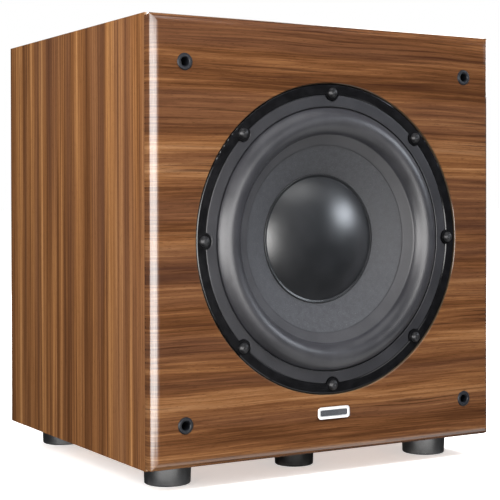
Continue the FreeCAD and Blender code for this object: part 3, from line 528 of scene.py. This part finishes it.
def cast_paint(name):
    """Satin black paint over a slightly uneven casting, a little thin on the highest grains."""
    finish, place = new_finish(name)
    peel = place.grain(0.0011, 2.0, 0.5)
    casting = place.grain(0.007, 3.0)
    specks = place.grain(0.0004, 1.0).step(0.66, 0.74)
    paint = casting.step(0.3, 0.7).mix((0.0025, 0.0025, 0.003), (0.005, 0.005, 0.006))
    return shade(finish, Base_Color=(specks * 0.2).mix(paint, (0.03, 0.03, 0.032)),
                 Roughness=0.12 + casting * 0.10, Normal=(peel * 0.5 + casting).relief(0.00002),
                 Specular_IOR_Level=0.3)


dress("driver_basket", cast_paint("frame_paint"))
dress("driver_gasket", grained("cellular_rubber", (0.010, 0.010, 0.010), (0.028, 0.028, 0.028), 0.80, 0.0006,
                               0.00015))


# ---- Surround's gasket ring ----
# A flat rubber ring covers the glued rim of the surround. It is cut away in an arc round each screw,
# and its moulded edges are slightly rounded.

def rubber_look(name, low, high, roughness, sheen=0.5, dull=lambda place: 0.0):
    """Butyl rubber: dull grey-black with a faint mould texture, a patchy bloom and tiny pits.
    dull(place) is how much rougher the mould was there."""
    finish, place = new_finish(name)
    mould = place.grain(0.0005, 3.0, 0.65)
    bloom = place.grain(0.030, 4.0, 0.6)
    pits = place.grain(0.0009, 1.0).step(0.68, 0.76)
    tint = (mould * 0.35 + bloom * 0.65).step(0.36, 0.64).mix(low, high)
    gloss = roughness - 0.05 + bloom * 0.10 + pits * 0.12 + dull(place)
    return shade(finish, Base_Color=tint, Roughness=gloss, Normal=(mould * 0.5 - pits).relief(0.00003),
                 Specular_IOR_Level=sheen)


SCREWS = 8
SCREW_CIRCLE = 123.1
NOTCH = 7.0
RING_INNER = 111.4
RING_OUTER = 121.4
RING_MIDDLE = (RING_INNER + RING_OUTER) / 2
DRIVER = Vector((AXIS.x, FRONT, AXIS.z))
sector = math.radians(360 / SCREWS)
ring_rows = [(RING_INNER, 4.0), (RING_INNER, 2.1), (111.52, 1.75), (111.8, 1.6), (112.3, 1.6), (120.5, 1.6),
             (121.0, 1.6), (121.28, 1.75), (RING_OUTER, 2.1), (RING_OUTER, 4.0)]


def notch_columns():
    """Angle and outer radius of each column across one sector: a notch round the screw, then plain rim."""
    arc = []
    count = 28
    widest = math.radians(75.9)
    for k in range(count + 1):
        turn = widest * (2 * k / count - 1)
        x = SCREW_CIRCLE - NOTCH * math.cos(turn)
        y = NOTCH * math.sin(turn)
        arc.append((math.atan2(y, x), min(math.hypot(x, y), RING_OUTER)))
    plain = 20
    last = arc[-1][0]
    after = [(last + (sector / 2 - last) * (k + 1) / plain, RING_OUTER) for k in range(plain)]
    before = [(-angle, radius) for angle, radius in reversed(after)]
    return before + arc + after


def gasket_ring():
    """One sector is swept, moved onto its columns and repeated round the driver."""
    columns = notch_columns()
    steps = len(columns) - 1
    ring = bmesh.new()
    corners = [ring.verts.new(Vector((r * MM, along * MM, 0))) for r, along in ring_rows]
    lines = [ring.edges.new(pair) for pair in zip(corners, corners[1:])]
    bmesh.ops.spin(ring, geom=corners + lines, cent=(0, 0, 0), axis=INWARD, angle=sector, steps=steps)
    for vert in ring.verts:
        swept = abs(math.atan2(vert.co.z, vert.co.x))
        angle, outer = columns[round(swept / sector * steps)]
        radius = math.hypot(vert.co.x, vert.co.z) / MM
        if radius > RING_MIDDLE:
            radius += outer - RING_OUTER
        vert.co = Vector((radius * MM * math.cos(angle), vert.co.y, radius * MM * math.sin(angle)))
    one_sector = ring.verts[:] + ring.edges[:] + ring.faces[:]
    for k in range(1, SCREWS):
        turn = Matrix.Rotation(k * sector, 3, "Y")
        bmesh.ops.rotate(ring, verts=copied(ring, one_sector), cent=(0, 0, 0), matrix=turn)
    bmesh.ops.remove_doubles(ring, verts=ring.verts, dist=0.01 * MM)
    bmesh.ops.bridge_loops(ring, edges=[e for e in ring.edges if e.is_boundary])
    bmesh.ops.recalc_face_normals(ring, faces=ring.faces)
    bmesh.ops.translate(ring, verts=ring.verts, vec=DRIVER)
    return ring


ring_finish = rubber_look("gasket_rubber", (0.010, 0.010, 0.013), (0.018, 0.018, 0.022), 0.36, 0.3)
new_piece("surround_ring_moulded", gasket_ring(), ring_finish, "cabinet",
          ["surround_gasket_ring"])


# ---- Surround ----
# The moving edge of the driver is a half roll of butyl rubber. Its outer rim is glued on the frame and its
# inner lip lies on the front of the cone, so the roll bends as the cone travels.

ROLL_OUTER = 111.2
ROLL_INNER = 88.2
ROLL_MIDDLE = (ROLL_OUTER + ROLL_INNER) / 2
ROLL_CREST = -4.5
ROLL_FOOT = 4.0
LIP_START = 87.3
LIP_EDGE = 79.2
RIM = 116.0
CONE_RADIUS = 88.5
GLUE = 0.3


def cone_face(radius):
    """Depth of the cone's front at a radius, in millimetres behind the baffle's face."""
    return 5.0 + (CONE_RADIUS - radius) * 0.5


def spaced(start, end, rows):
    """Evenly spaced numbers from start to end."""
    return [start + (end - start) * k / rows for k in range(rows + 1)]


def roll(thickness, rows=36):
    """Points over the roll from its outer foot to its inner foot, that far inside its skin."""
    half = (ROLL_OUTER - ROLL_INNER) / 2
    rise = ROLL_FOOT - ROLL_CREST
    curve = (half * half + rise * rise) / (2 * rise)
    widest = math.asin(half / curve)
    skin = curve - thickness
    turns = [widest * (1 - 2 * k / rows) for k in range(rows + 1)]
    return [(ROLL_MIDDLE + skin * math.sin(t), ROLL_CREST + curve - skin * math.cos(t)) for t in turns]


def lip(above, rows=5):
    """Points down the lip from the roll to the lip's edge, that far above the cone."""
    return [(r, cone_face(r) - above) for r in spaced(LIP_START, LIP_EDGE + 0.35, rows)]


def on_the_lip(place):
    """The lip that lies on the cone has a rougher face than the roll."""
    return (1 - radius_round_axis(place).step(0.0868, 0.0888)) * 0.30


surround_finish = rubber_look("butyl_rubber", (0.020, 0.020, 0.024), (0.032, 0.032, 0.037), 0.36, 0.34,
                              on_the_lip)
skin_line = [(RIM, 4.02), (112.0, 4.02)] + roll(0.0) + lip(1.15)
edge_line = [(LIP_EDGE + 0.05, cone_face(LIP_EDGE) - 0.95), (LIP_EDGE, cone_face(LIP_EDGE) - GLUE - 0.05)]
back_line = [(LIP_EDGE + 4, cone_face(LIP_EDGE + 4) - GLUE), (88.3, 4.8)] + roll(1.2)[::-1][3:-3]
rim_line = [(110.6, 5.5), (RIM, 5.5)]
surround = turned(skin_line + edge_line + back_line + rim_line, DRIVER, INWARD, 288)
surround = new_piece("surround_moulded", surround, surround_finish, None, ["surround"],
                     60.0)


def bend_with_radius(piece, still, moving):
    """The piece stays with the cabinet at one radius and moves with the cone at the other."""
    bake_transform(piece, "cabinet", "cone_assembly", DRIVER, DRIVER + INWARD * 0.1)
    for vert, share in zip(piece.data.vertices, piece.data.attributes["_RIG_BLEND"].data):
        radius = math.hypot(vert.co.x - DRIVER.x, vert.co.z - DRIVER.z) / MM
        way = min(1.0, max(0.0, (still - radius) / (still - moving)))
        share.value = way * way * (3 - 2 * way)


bend_with_radius(surround, ROLL_OUTER, ROLL_INNER)


# ---- Cone ----
# The cone is pressed from paper pulp with a dark coating, which leaves fine fibres and a mottled face.
# It is glued to the surround's lip at its edge and to the voice coil at its neck.

def pulp_look(name):
    finish, place = new_finish(name)
    across = place.grain((0.0016, 0.0005, 0.0005), 3.0, 0.7)
    upright = place.grain((0.0005, 0.0005, 0.0016), 3.0, 0.7)
    fibres = across + upright
    mottle = place.grain(0.0042, 3.0, 0.6)
    flecks = place.grain((0.0012, 0.0012, 0.0004), 1.0).step(0.64, 0.72)
    tint = (fibres * 0.3 + mottle * 0.4).step(0.34, 0.66).mix((0.032, 0.033, 0.038), (0.050, 0.052, 0.059))
    return shade(finish, Base_Color=(flecks * 0.35).mix(tint, (0.13, 0.13, 0.14)),
                 Roughness=0.62 + mottle * 0.14, Normal=(fibres * 0.5 + mottle * 0.6).relief(0.00012),
                 Specular_IOR_Level=0.25)


NECK = 26.1
cone_radii = spaced(CONE_RADIUS, NECK, 24)
cone_line = [(r, cone_face(r)) for r in cone_radii] + [(r, cone_face(r) + 1.8) for r in reversed(cone_radii)]
new_piece("cone_pressed", turned(cone_line, DRIVER, INWARD, 192), pulp_look("cone_pulp"),
          "cone_assembly", ["cone"])


# ---- Dust cap ----
# A shallow dome of moulded plastic closes the coil. Its small brim is glued on the cone,
# and its face has an even satin finish.

CAP_RADIUS = 52.6
CAP_APEX = 3.5
BRIM = 55.0


def dome(apex, radius, edge, rows=26):
    """Points over a round dome from its apex to its edge."""
    rise = edge - apex
    ball = (radius * radius + rise * rise) / (2 * rise)
    widest = math.asin(radius / ball)
    return [(ball * math.sin(t), apex + ball * (1 - math.cos(t))) for t in spaced(0.0, widest, rows)]


cap_edge = cone_face(CAP_RADIUS) - 1.6
brim_line = [(53.0, cap_edge - 0.05), (53.6, cap_edge - 0.45), (54.1, cone_face(BRIM) - 1.15),
             (54.6, cone_face(BRIM) - 1.2), (54.9, cone_face(BRIM) - 1.0), (BRIM, cone_face(BRIM) - 0.7),
             (BRIM, cone_face(BRIM))]
inside = dome(CAP_APEX + 1.0, CAP_RADIUS - 1.0, cone_face(CAP_RADIUS - 1.0), 12)[::-1]
cap_line = dome(CAP_APEX, CAP_RADIUS, cap_edge) + brim_line + inside


def cap_look(name):
    finish, place = new_finish(name)
    satin = place.grain(0.00045, 3.0, 0.6)
    haze = place.grain(0.02, 3.0)
    tint = (satin * 0.4 + haze * 0.6).step(0.35, 0.65).mix((0.011, 0.012, 0.014), (0.019, 0.020, 0.023))
    return shade(finish, Base_Color=tint, Roughness=0.32 + haze * 0.06,
                 Normal=(satin + haze * 0.4).relief(0.00002), Specular_IOR_Level=0.9)


cap = turned(cap_line, DRIVER, INWARD, 192, closed=False)
cap_finish = cap_look("cap_plastic")
cap = new_piece("dust_cap_moulded", cap, cap_finish, "cone_assembly", ["dust_cap"])


# ---- Voice coil ----
# Two layers of enamelled copper wire are wound on a thin aluminium-foil former,
# which is glued into the neck of the cone.

def wound(name, low, high, pitch, axis, roughness, metallic):
    """Wire or tape wound round an axis. pitch is the distance from one turn to the next."""
    finish, place = new_finish(name)
    turn = place.along(axis) * (2 * math.pi / pitch) + place.grain(0.01) * 2.0
    crown = turn.sine() * 0.5 + 0.5
    uneven = place.grain(0.003, 3.0)
    return shade(finish, Base_Color=(crown * 0.6 + uneven * 0.4).step(0.25, 0.75).mix(low, high),
                 Metallic=metallic, Roughness=roughness + uneven * 0.15, Normal=crown.relief(pitch * 0.3))


dress("voice_coil", wound("copper_winding", (0.42, 0.15, 0.06), (0.78, 0.34, 0.17), 0.0005, "Y", 0.22, 1.0))
dress("voice_coil_former", brushed("former_foil", (0.60, 0.61, 0.62), (0.82, 0.83, 0.84), 0.25,
                                   (0.0002, 0.01, 0.0002)))


# ---- Spider ----
# A disc of cotton cloth, stiffened with resin and pressed into rings, centres the coil.
# Its neck is glued to the former and its rim to a ledge in the frame, so its rings open as the coil moves.

SPIDER_FRONT = 49.2
SPIDER_CLOTH = 0.8
WAVES_START = 31.1
WAVES_END = 60.0
WAVE_HEIGHT = 2.0
HALF_WAVES = 8
SPIDER_RIM = 73.2


def spider_line(depth, rows=48):
    radii = spaced(WAVES_START, WAVES_END, rows)
    turn = math.pi * HALF_WAVES / (WAVES_END - WAVES_START)
    waves = [(r, depth - WAVE_HEIGHT * math.sin(turn * (r - WAVES_START))) for r in radii]
    return [(NECK + GLUE, depth)] + waves + [(SPIDER_RIM, depth)]


def cloth_look(name):
    """Cotton cloth soaked in brown resin, with its plain weave still showing."""
    finish, place = new_finish(name)
    threads = 2 * math.pi / 0.0009
    warp = place.along("X") * threads + place.grain(0.004) * 1.5
    weft = place.along("Z") * threads + place.grain(0.004) * 1.5
    weave = warp.sine() * weft.sine() * 0.5 + 0.5
    resin = place.grain(0.012, 3.0)
    stain = (weave * 0.5 + resin * 0.5).step(0.3, 0.7)
    return shade(finish, Base_Color=stain.mix((0.24, 0.11, 0.035), (0.52, 0.30, 0.12)),
                 Roughness=0.60 + resin * 0.2, Normal=weave.relief(0.0001))


spider_back = spider_line(SPIDER_FRONT + SPIDER_CLOTH)[::-1]
spider = turned(spider_line(SPIDER_FRONT) + spider_back, DRIVER, INWARD, 144)
spider_finish = cloth_look("spider_cloth")
spider = new_piece("spider_pressed", spider, spider_finish, None, ["spider"], 60.0)
bend_with_radius(spider, SPIDER_RIM - 12.0, NECK + 2.0)


# ---- Motor ----
# Two zinc-plated steel plates clamp a ferrite ring magnet, and a rubber boot is pulled over it.
# The pole in the middle carries the field into the coil and has a vent through it.

steel_finish = plated("motor_steel", (0.40, 0.41, 0.42), (0.62, 0.63, 0.64), 0.30)
dress("top_plate", steel_finish)
dress("pole_piece", steel_finish)
dress("magnet_ring", grained("ferrite", (0.030, 0.031, 0.033), (0.070, 0.071, 0.075), 0.55, 0.0008, 0.00006,
                             metallic=0.3))
dress("magnet_boot", rubber_look("boot_rubber", (0.014, 0.014, 0.014), (0.026, 0.026, 0.026), 0.48))


# ---- Driver terminals ----
# A strip of brown paper board is riveted to the frame and carries two brass blades.
# Two braided tinsel leads run from its rivets to the back of the cone and flex with it.

dress("terminal_strip", grained("paper_board", (0.13, 0.060, 0.028), (0.24, 0.12, 0.060), 0.45, 0.0012,
                                0.00004))
brass_finish = plated("brass", (0.58, 0.40, 0.16), (0.86, 0.66, 0.32), 0.22)
dress("driver_terminals", brass_finish)


def depth_point(x, depth, z):
    """A point from millimetres across, behind the baffle's face and above the floor."""
    return Vector((x * MM, FRONT + depth * MM, z * MM))


def cord_line(name, points, radius, finish=None):
    """A smooth curve with these points as its control points. A radius gives it a round section."""
    line = bpy.data.curves.new(name, "CURVE")
    line.dimensions = "3D"
    line.resolution_u = 12
    line.bevel_depth = radius
    line.bevel_resolution = 5
    line.use_fill_caps = True
    spline = line.splines.new("NURBS")
    spline.points.add(len(points) - 1)
    for knot, point in zip(spline.points, points):
        knot.co = (*point, 1.0)
    spline.order_u = 3
    spline.use_endpoint_u = True
    if finish:
        line.materials.append(finish)
    return placed(name, line)


def drawn(name, points, radius):
    """The tube of a cord as a mesh, and the points that its middle follows."""
    found = []
    for thickness in (radius, 0.0):
        line = cord_line(name + "_line", points, thickness)
        bpy.context.view_layer.update()
        depsgraph = bpy.context.evaluated_depsgraph_get()
        found.append(bpy.data.meshes.new_from_object(line.evaluated_get(depsgraph)))
        bpy.data.objects.remove(line)
    tube, middle = found
    return tube, [vert.co.copy() for vert in middle.vertices]


def braid_look(name):
    """Fine copper strands braided round a thread, tinned and a little tarnished."""
    finish, place = new_finish(name)
    strands = place.grain((0.0003, 0.0008, 0.0003), 2.0).step(0.3, 0.7)
    tarnish = place.grain(0.003, 3.0)
    shine = strands * 0.6 + tarnish * 0.4
    return shade(finish, Base_Color=shine.mix((0.35, 0.17, 0.10), (0.80, 0.52, 0.38)), Metallic=1.0,
                 Roughness=0.32 + tarnish * 0.2, Normal=strands.relief(0.0001))


TINSEL = 0.9
RIVET_DEPTH = 48.9
RIVET_Z = AXIS.z / MM - 84.0
tinsel_finish = braid_look("tinsel_braid")
tinsel_end = cone_face(48) + 3.4
for side, x in (("left", -8.0), ("right", 8.0)):
    route = [depth_point(x, RIVET_DEPTH, RIVET_Z), depth_point(x, 39.0, RIVET_Z),
             depth_point(x, 36.0, RIVET_Z + 20), depth_point(x, tinsel_end, RIVET_Z + 36)]
    tube, path = drawn("tinsel_lead_" + side, route, TINSEL * MM)
    mesh = bmesh.new()
    mesh.from_mesh(tube)
    bmesh.ops.remove_doubles(mesh, verts=mesh.verts, dist=1e-6)
    lead = new_piece("tinsel_lead_" + side, mesh, tinsel_finish, None, ["tinsel_leads"], 60.0)
    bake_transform(lead, "cabinet", "cone_assembly", route[0], route[-1])


# ---- Driver screws ----
# Eight button-head screws with hexagon sockets hold the frame down on its pads.
# They are blackened steel with a thin film of oil.

dress("driver_screws", grained("black_oxide", (0.008, 0.008, 0.009), (0.020, 0.020, 0.022), 0.36, 0.0006,
                               0.00003, metallic=0.2, Specular_IOR_Level=0.25))


# ---- Speaker leads ----
# Two stranded leads in soft plastic, one red and one black, run from the amplifier's board through the
# brace's window to the driver's blades. Both ends are soldered, so they hang slack inside the box.

LEAD = 1.9
for side, x, low, high in (("red", -8.0, (0.30, 0.012, 0.010), (0.45, 0.028, 0.022)),
                           ("black", 8.0, (0.012, 0.012, 0.012), (0.028, 0.028, 0.028))):
    route = [depth_point(x, 55.9, 99.3), depth_point(x, 62, 83), depth_point(x, 88, 81),
             depth_point(x + 1, 130, 84), depth_point(x + 2, 180, 87), depth_point(x + 10, 222, 92),
             depth_point(x + 20, 246, 116), depth_point(x + 28, 253, 155), depth_point(x + 30, 254, 186),
             depth_point(x + 30, 256, 216), depth_point(x + 30, 279.2, 216)]
    path = drawn("speaker_lead_" + side, route, LEAD * MM)[1]
    cover = grained("lead_cover_" + side, low, high, 0.38, 0.0010, 0.00004)
    lead = cord_line("speaker_lead_" + side, route, LEAD * MM, cover)
    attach(lead, "cabinet")
    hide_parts("speaker_leads")


# ---- Amplifier plate ----
# A 3 mm aluminium plate, powder coated black, is screwed over the cut-out in the back.
# It carries every part of the amplifier. Plain marks are printed by its knobs, switch and sockets.

def powder_coat(name):
    finish, place = new_finish(name)
    pebble = place.grain(0.0009, 2.0, 0.45)
    sheen = place.grain(0.03, 2.0)
    tint = (pebble * 0.7 + sheen * 0.3).step(0.3, 0.7).mix((0.011, 0.011, 0.012), (0.024, 0.024, 0.026))
    return shade(finish, Base_Color=tint, Roughness=0.44 + sheen * 0.10, Normal=pebble.relief(0.00018))


dress("amp_plate", powder_coat("powder_coat"))
dress("amp_screws", grained("black_screw", (0.010, 0.010, 0.011), (0.026, 0.026, 0.028), 0.28, 0.0006,
                            0.00003, metallic=0.4))
PLATE_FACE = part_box("amp_plate")[1].y
PRINT = 0.06


def ink(mesh, x, z, length, width, turn=0.0):
    """Adds one printed bar on the plate, its length turned from upright about its middle."""
    middle = (x, PLATE_FACE + PRINT / 2 * MM, z)
    block(mesh, middle, (width * MM, PRINT * MM, length * MM), turn)


LINE = 0.55
TICK_START = 13.0
KNOB_TURNS = range(-150, 151, 30)
SLIDE_MARK = 3.0
marks = bmesh.new()
for knob in ("volume_knob", "crossover_knob"):
    low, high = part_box(knob)
    middle = (low + high) / 2
    for degrees in KNOB_TURNS:
        turn = math.radians(degrees)
        length = 3.2 if degrees in (-150, 0, 150) else 2.0
        reach = (TICK_START + length / 2) * MM
        ink(marks, middle.x + reach * math.sin(turn), middle.z + reach * math.cos(turn), length, LINE, turn)
low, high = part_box("phase_switch_body")
for side in (-SLIDE_MARK, SLIDE_MARK):
    ink(marks, (low.x + high.x) / 2 + side * MM, high.z + 1.4 * MM, 1.8, LINE)
jacks_low, jacks_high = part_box("rca_sleeves")
ink(marks, (jacks_low.x + jacks_high.x) / 2, jacks_high.z + 3.0 * MM, 0.5, (jacks_high.x - jacks_low.x) / MM)
bmesh.ops.recalc_face_normals(marks, faces=marks.faces)
soften(marks, 0.02, 1)
ink_finish = grained("printed_ink", (0.55, 0.55, 0.54), (0.74, 0.74, 0.73), 0.55, 0.0005, 0.00001)
new_piece("panel_marks", marks, ink_finish, "cabinet")


# ---- Heatsink ----
# A black-anodised extrusion with ten fins is bolted on the plate behind the output transistors.
# The die leaves fine lines along the fins.

dress("heatsink", brushed("anodised", (0.012, 0.012, 0.013), (0.032, 0.032, 0.035), 0.34,
                          (0.0004, 0.0004, 0.03), metallic=0.7))


# ---- Circuit board and its parts ----
# A green fibreglass board stands off the plate on four pillars. It carries two reservoir capacitors,
# and three power transistors are clamped on the plate beside it.

def circuit_look(name):
    """Green solder mask over straight copper tracks, with small tinned pads."""
    finish, place = new_finish(name)
    runs = place.grain((0.0022, 0.02, 0.011), 0.0).step(0.50, 0.53)
    cross = place.grain((0.012, 0.02, 0.0026), 0.0).step(0.56, 0.59)
    tracks = runs | cross
    pads = place.grain(0.0024, 0.0).step(0.74, 0.77)
    green = tracks.mix((0.006, 0.060, 0.022), (0.016, 0.130, 0.045))
    return shade(finish, Base_Color=pads.mix(green, (0.55, 0.55, 0.56)), Roughness=0.30 + pads * 0.1,
                 Metallic=pads, Normal=(tracks * 0.4 + pads).relief(0.00005))


dress("circuit_board", circuit_look("circuit_board"))
dress("board_standoffs", plated("standoff_nickel", (0.55, 0.55, 0.54), (0.74, 0.73, 0.71), 0.28))


def sleeve_look(name):
    """Shrunk plastic sleeves with a pale stripe down one side, and a bare metal top."""
    finish, place = new_finish(name)
    shrink = place.grain(0.0014, 3.0)
    stripe = place.along("Z") - (capacitors_low.z + capacitors_high.z) / 2
    stripe = stripe.step(0.0088, 0.0090)
    metal = place.along("Y") < capacitors_low.y + 0.0004
    cover = (stripe * 0.85).mix((0.008, 0.009, 0.016), (0.42, 0.42, 0.45))
    return shade(finish, Base_Color=metal.mix(cover, (0.70, 0.70, 0.71)), Metallic=metal,
                 Roughness=0.24 + shrink * 0.14, Normal=shrink.relief(0.00004))


capacitors_low, capacitors_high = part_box("reservoir_capacitors")
dress("reservoir_capacitors", sleeve_look("capacitor_sleeve"))
dress("output_transistors", grained("moulded_epoxy", (0.012, 0.012, 0.013), (0.028, 0.028, 0.029), 0.55,
                                    0.0004, 0.00004))


# ---- Transformer ----
# A toroidal transformer is wrapped in polyester tape and held on the plate by a dished steel washer
# and one long bolt.

dress("toroidal_transformer", wound("polyester_tape", (0.60, 0.42, 0.07), (0.78, 0.60, 0.16), 0.009, "Z",
                                    0.26, 0.0))
dress("transformer_clamp", plated("clamp_zinc", (0.52, 0.50, 0.40), (0.74, 0.71, 0.56), 0.30))


# ---- Phono sockets ----
# Three nickel-plated sockets are nutted to the plate, each with a moulded insulator in its mouth.

dress("rca_sleeves", plated("nickel", (0.62, 0.60, 0.57), (0.82, 0.80, 0.76), 0.20))


def insulator_look(name):
    """One insulator is red, one white and one black, from the left."""
    finish, place = new_finish(name)
    mould = place.grain(0.0005, 2.0)
    third = (jacks_high.x - jacks_low.x) / 3
    across = place.along("X")
    white = across > jacks_low.x + third
    black = across > jacks_low.x + 2 * third
    tint = black.mix(white.mix((0.50, 0.020, 0.018), (0.72, 0.72, 0.70)), (0.016, 0.016, 0.016))
    return shade(finish, Base_Color=(mould * 0.25).mix(tint, (0.25, 0.24, 0.23)),
                 Roughness=0.34 + mould * 0.12, Normal=mould.relief(0.00002))


dress("rca_insulators", insulator_look("jack_insulator"))


# ---- Mains inlet and fuse drawer ----
# A moulded appliance inlet snaps into the plate, with three plated pins in its well.
# The fuse drawer slides out from the slot under it.

moulding = grained("moulded_plastic", (0.012, 0.012, 0.013), (0.024, 0.024, 0.025), 0.42, 0.00045, 0.00004)
dress("mains_inlet", moulding)
dress("inlet_pins", plated("pin_nickel", (0.60, 0.58, 0.55), (0.80, 0.78, 0.74), 0.22))
dress("fuse_drawer", grained("drawer_plastic", (0.016, 0.016, 0.017), (0.030, 0.030, 0.031), 0.38, 0.00045,
                             0.00004))


# ---- Mains switch ----
# A glossy rocker turns on two stub pins in its bezel, which snaps into the plate.
# Its upper end is pressed in at rest, and it carries no marks.

dress("mains_switch_bezel", moulding)


def rocker_look(name):
    """Glossy black plastic, finely scuffed where fingers press it."""
    finish, place = new_finish(name)
    scuffs = place.grain((0.0002, 0.003, 0.0015), 3.0, 0.6).step(0.45, 0.75)
    fine = place.grain(0.0006, 2.0)
    return shade(finish, Base_Color=fine.mix((0.010, 0.010, 0.011), (0.022, 0.022, 0.023)),
                 Roughness=0.16 + scuffs * 0.22, Normal=(scuffs + fine * 0.3).relief(0.00001))


dress("mains_rocker", rocker_look("rocker_plastic"))


# ---- Light and controls ----
# A blue lens shows that the amplifier is on. Two rotary controls have fluted knobs with a white pointer
# on aluminium shafts, and a slide switch under them sets the phase.

def lens_look(name):
    finish, place = new_finish(name)
    cloud = place.grain(0.0008, 2.0)
    return shade(finish, Base_Color=cloud.mix((0.03, 0.12, 0.55), (0.08, 0.26, 0.80)),
                 Roughness=0.10 + cloud * 0.1, Normal=cloud.relief(0.00001), Emission_Strength=0.6,
                 Emission_Color=cloud.mix((0.02, 0.10, 0.70), (0.05, 0.20, 0.95)))


def knob_look(name, knob):
    """Moulded black plastic whose pointer groove is filled with white paint."""
    low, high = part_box(knob)
    middle = (low + high) / 2
    finish, place = new_finish(name)
    mould = place.grain(0.0005, 3.0)
    across = place.along("X") - middle.x
    upright = place.along("Z") - middle.z
    thin = (across < 0.00062) * (across > -0.00062)
    back = place.along("Y")
    groove = thin * (upright > 0.0019) * (back < high.y - 0.0002) * (back > high.y - 0.0009)
    tint = mould.mix((0.013, 0.013, 0.014), (0.026, 0.026, 0.027))
    return shade(finish, Base_Color=groove.mix(tint, (0.75, 0.75, 0.74)), Roughness=0.40 + mould * 0.12,
                 Normal=mould.relief(0.00004))


dress("status_led", lens_look("led_lens"))
for control in ("volume", "crossover"):
    dress(control + "_knob", knob_look(control + "_knob_plastic", control + "_knob"))
shaft_finish = plated("turned_aluminium", (0.62, 0.62, 0.63), (0.80, 0.80, 0.81), 0.25)
dress("volume_shaft", shaft_finish)
dress("crossover_shaft", shaft_finish)
dress("control_pots", plated("pot_can", (0.48, 0.48, 0.48), (0.66, 0.66, 0.65), 0.32))
dress("phase_switch_body", plated("switch_can", (0.50, 0.50, 0.50), (0.68, 0.68, 0.67), 0.30))
dress("phase_slider", grained("slider_plastic", (0.014, 0.014, 0.014), (0.028, 0.028, 0.028), 0.36, 0.0004,
                              0.00003))


# ---- Studio ----
# A plain white floor, soft lights and a dim surrounding. The floor isn't mirrored in the object, so
# that its dark parts stay dark.

floor = bmesh.new()
bmesh.ops.create_grid(floor, x_segments=1, y_segments=1, size=30.0)
floor_data = bpy.data.meshes.new("floor")
floor.to_mesh(floor_data)
floor.free()
floor_piece = placed("floor", floor_data)
floor_finish, floor_place = new_finish("floor_paint")
floor_grain = floor_place.grain(0.02, 3.0)
far = floor_place.node("VectorMath", {"operation": "LENGTH"}, {0: floor_place}, "Value").step(0.35, 0.95)
floor_tint = floor_grain.mix((0.88, 0.88, 0.88), (0.92, 0.92, 0.92))
floor_glow = far.mix((0.5, 0.5, 0.5), (1.0, 1.0, 1.0))
floor_data.materials.append(shade(floor_finish, Base_Color=floor_tint, Roughness=0.8, Specular_IOR_Level=0.0,
                                  Emission_Strength=1.0, Emission_Color=floor_glow))
floor_piece.visible_glossy = False
floor_piece.visible_diffuse = False
floor_piece.visible_shadow = False


def soft_light(name, azimuth, elevation, distance, width, height, brightness, tint=(1.0, 1.0, 1.0),
               fills=True, gleams=True):
    """A rectangular light that faces the driver. Azimuth 0 is in front of the baffle, and negative is left.
    One that fills lights dull surfaces, and one that gleams is mirrored in glossy ones."""
    light = bpy.data.lights.new(name, "AREA")
    light.shape = "RECTANGLE"
    light.size = width
    light.size_y = height
    light.energy = brightness * math.pi * width * height
    light.color = tint
    a = math.radians(azimuth)
    e = math.radians(elevation)
    away = Vector((math.sin(a) * math.cos(e), -math.cos(a) * math.cos(e), math.sin(e)))
    lamp = placed(name, light)
    lamp.location = DRIVER + away * distance
    lamp.rotation_euler = away.to_track_quat("Z", "Y").to_euler()
    lamp.visible_camera = False
    lamp.visible_diffuse = fills
    lamp.visible_glossy = gleams
    return lamp


WARM = (1.0, 0.985, 0.965)
COOL = (0.86, 0.92, 1.0)
soft_light("left_fill", -68.0, 20.0, 0.9, 0.90, 0.70, 6.5, WARM, gleams=False)
soft_light("left_gleam", -63.0, -1.0, 1.2, 0.88, 0.72, 15.5, WARM, fills=False)
front_gleam = soft_light("front_gleam", -13.0, -1.0, 2.5, 2.75, 1.12, 15.5, WARM, fills=False)
floor_gleam = soft_light("floor_gleam", 45.0, -45.0, 1.3, 1.30, 1.10, 1.8, fills=False)
soft_light("floor_fill", 0.0, -72.0, 0.9, 1.20, 1.00, 2.6, gleams=False)
soft_light("key_fill", 46.0, 48.0, 2.6, 0.80, 0.80, 52.0, gleams=False)
soft_light("lamp_gleam", 60.0, 19.0, 1.5, 0.62, 0.38, 14.0, COOL, fills=False)
soft_light("top_panel", -10.0, 68.0, 1.5, 1.30, 1.10, 2.5)
soft_light("rear_panel", 180.0, 26.0, 2.2, 1.10, 0.90, 9.0)
soft_light("rear_right", 128.0, 22.0, 1.8, 1.00, 0.90, 6.0)

# The dust cap mirrors neither the front light nor the one below the floor.
unlit = bpy.data.collections.new("not_mirroring_front_and_floor")
unlit.objects.link(cap)
for member in unlit.collection_objects:
    member.light_linking.link_state = "EXCLUDE"
front_gleam.light_linking.receiver_collection = unlit
floor_gleam.light_linking.receiver_collection = unlit

world = bpy.data.worlds.new("studio")
world.use_nodes = True
room = Wire(world.node_tree)
seen = room.node("LightPath", output="Is Camera Ray")
background = world.node_tree.nodes["Background"]
world.node_tree.links.new((seen * 0.94 + 0.06).socket, background.inputs["Strength"])
background.inputs["Color"].default_value = (1.0, 1.0, 1.0, 1.0)
bpy.context.scene.world = world
bpy.context.scene.view_settings.view_transform = "Standard"

camera = bpy.data.cameras.new("camera")
camera.lens = 96.7
camera.sensor_width = 36.0
camera.shift_y = -0.0726
viewer = placed("camera", camera)
viewer.location = (-0.6374, -1.09585, 0.2316)
viewer.rotation_euler = (math.radians(90 - 0.537), math.radians(0.122), math.radians(-30.71))
bpy.context.scene.camera = viewer
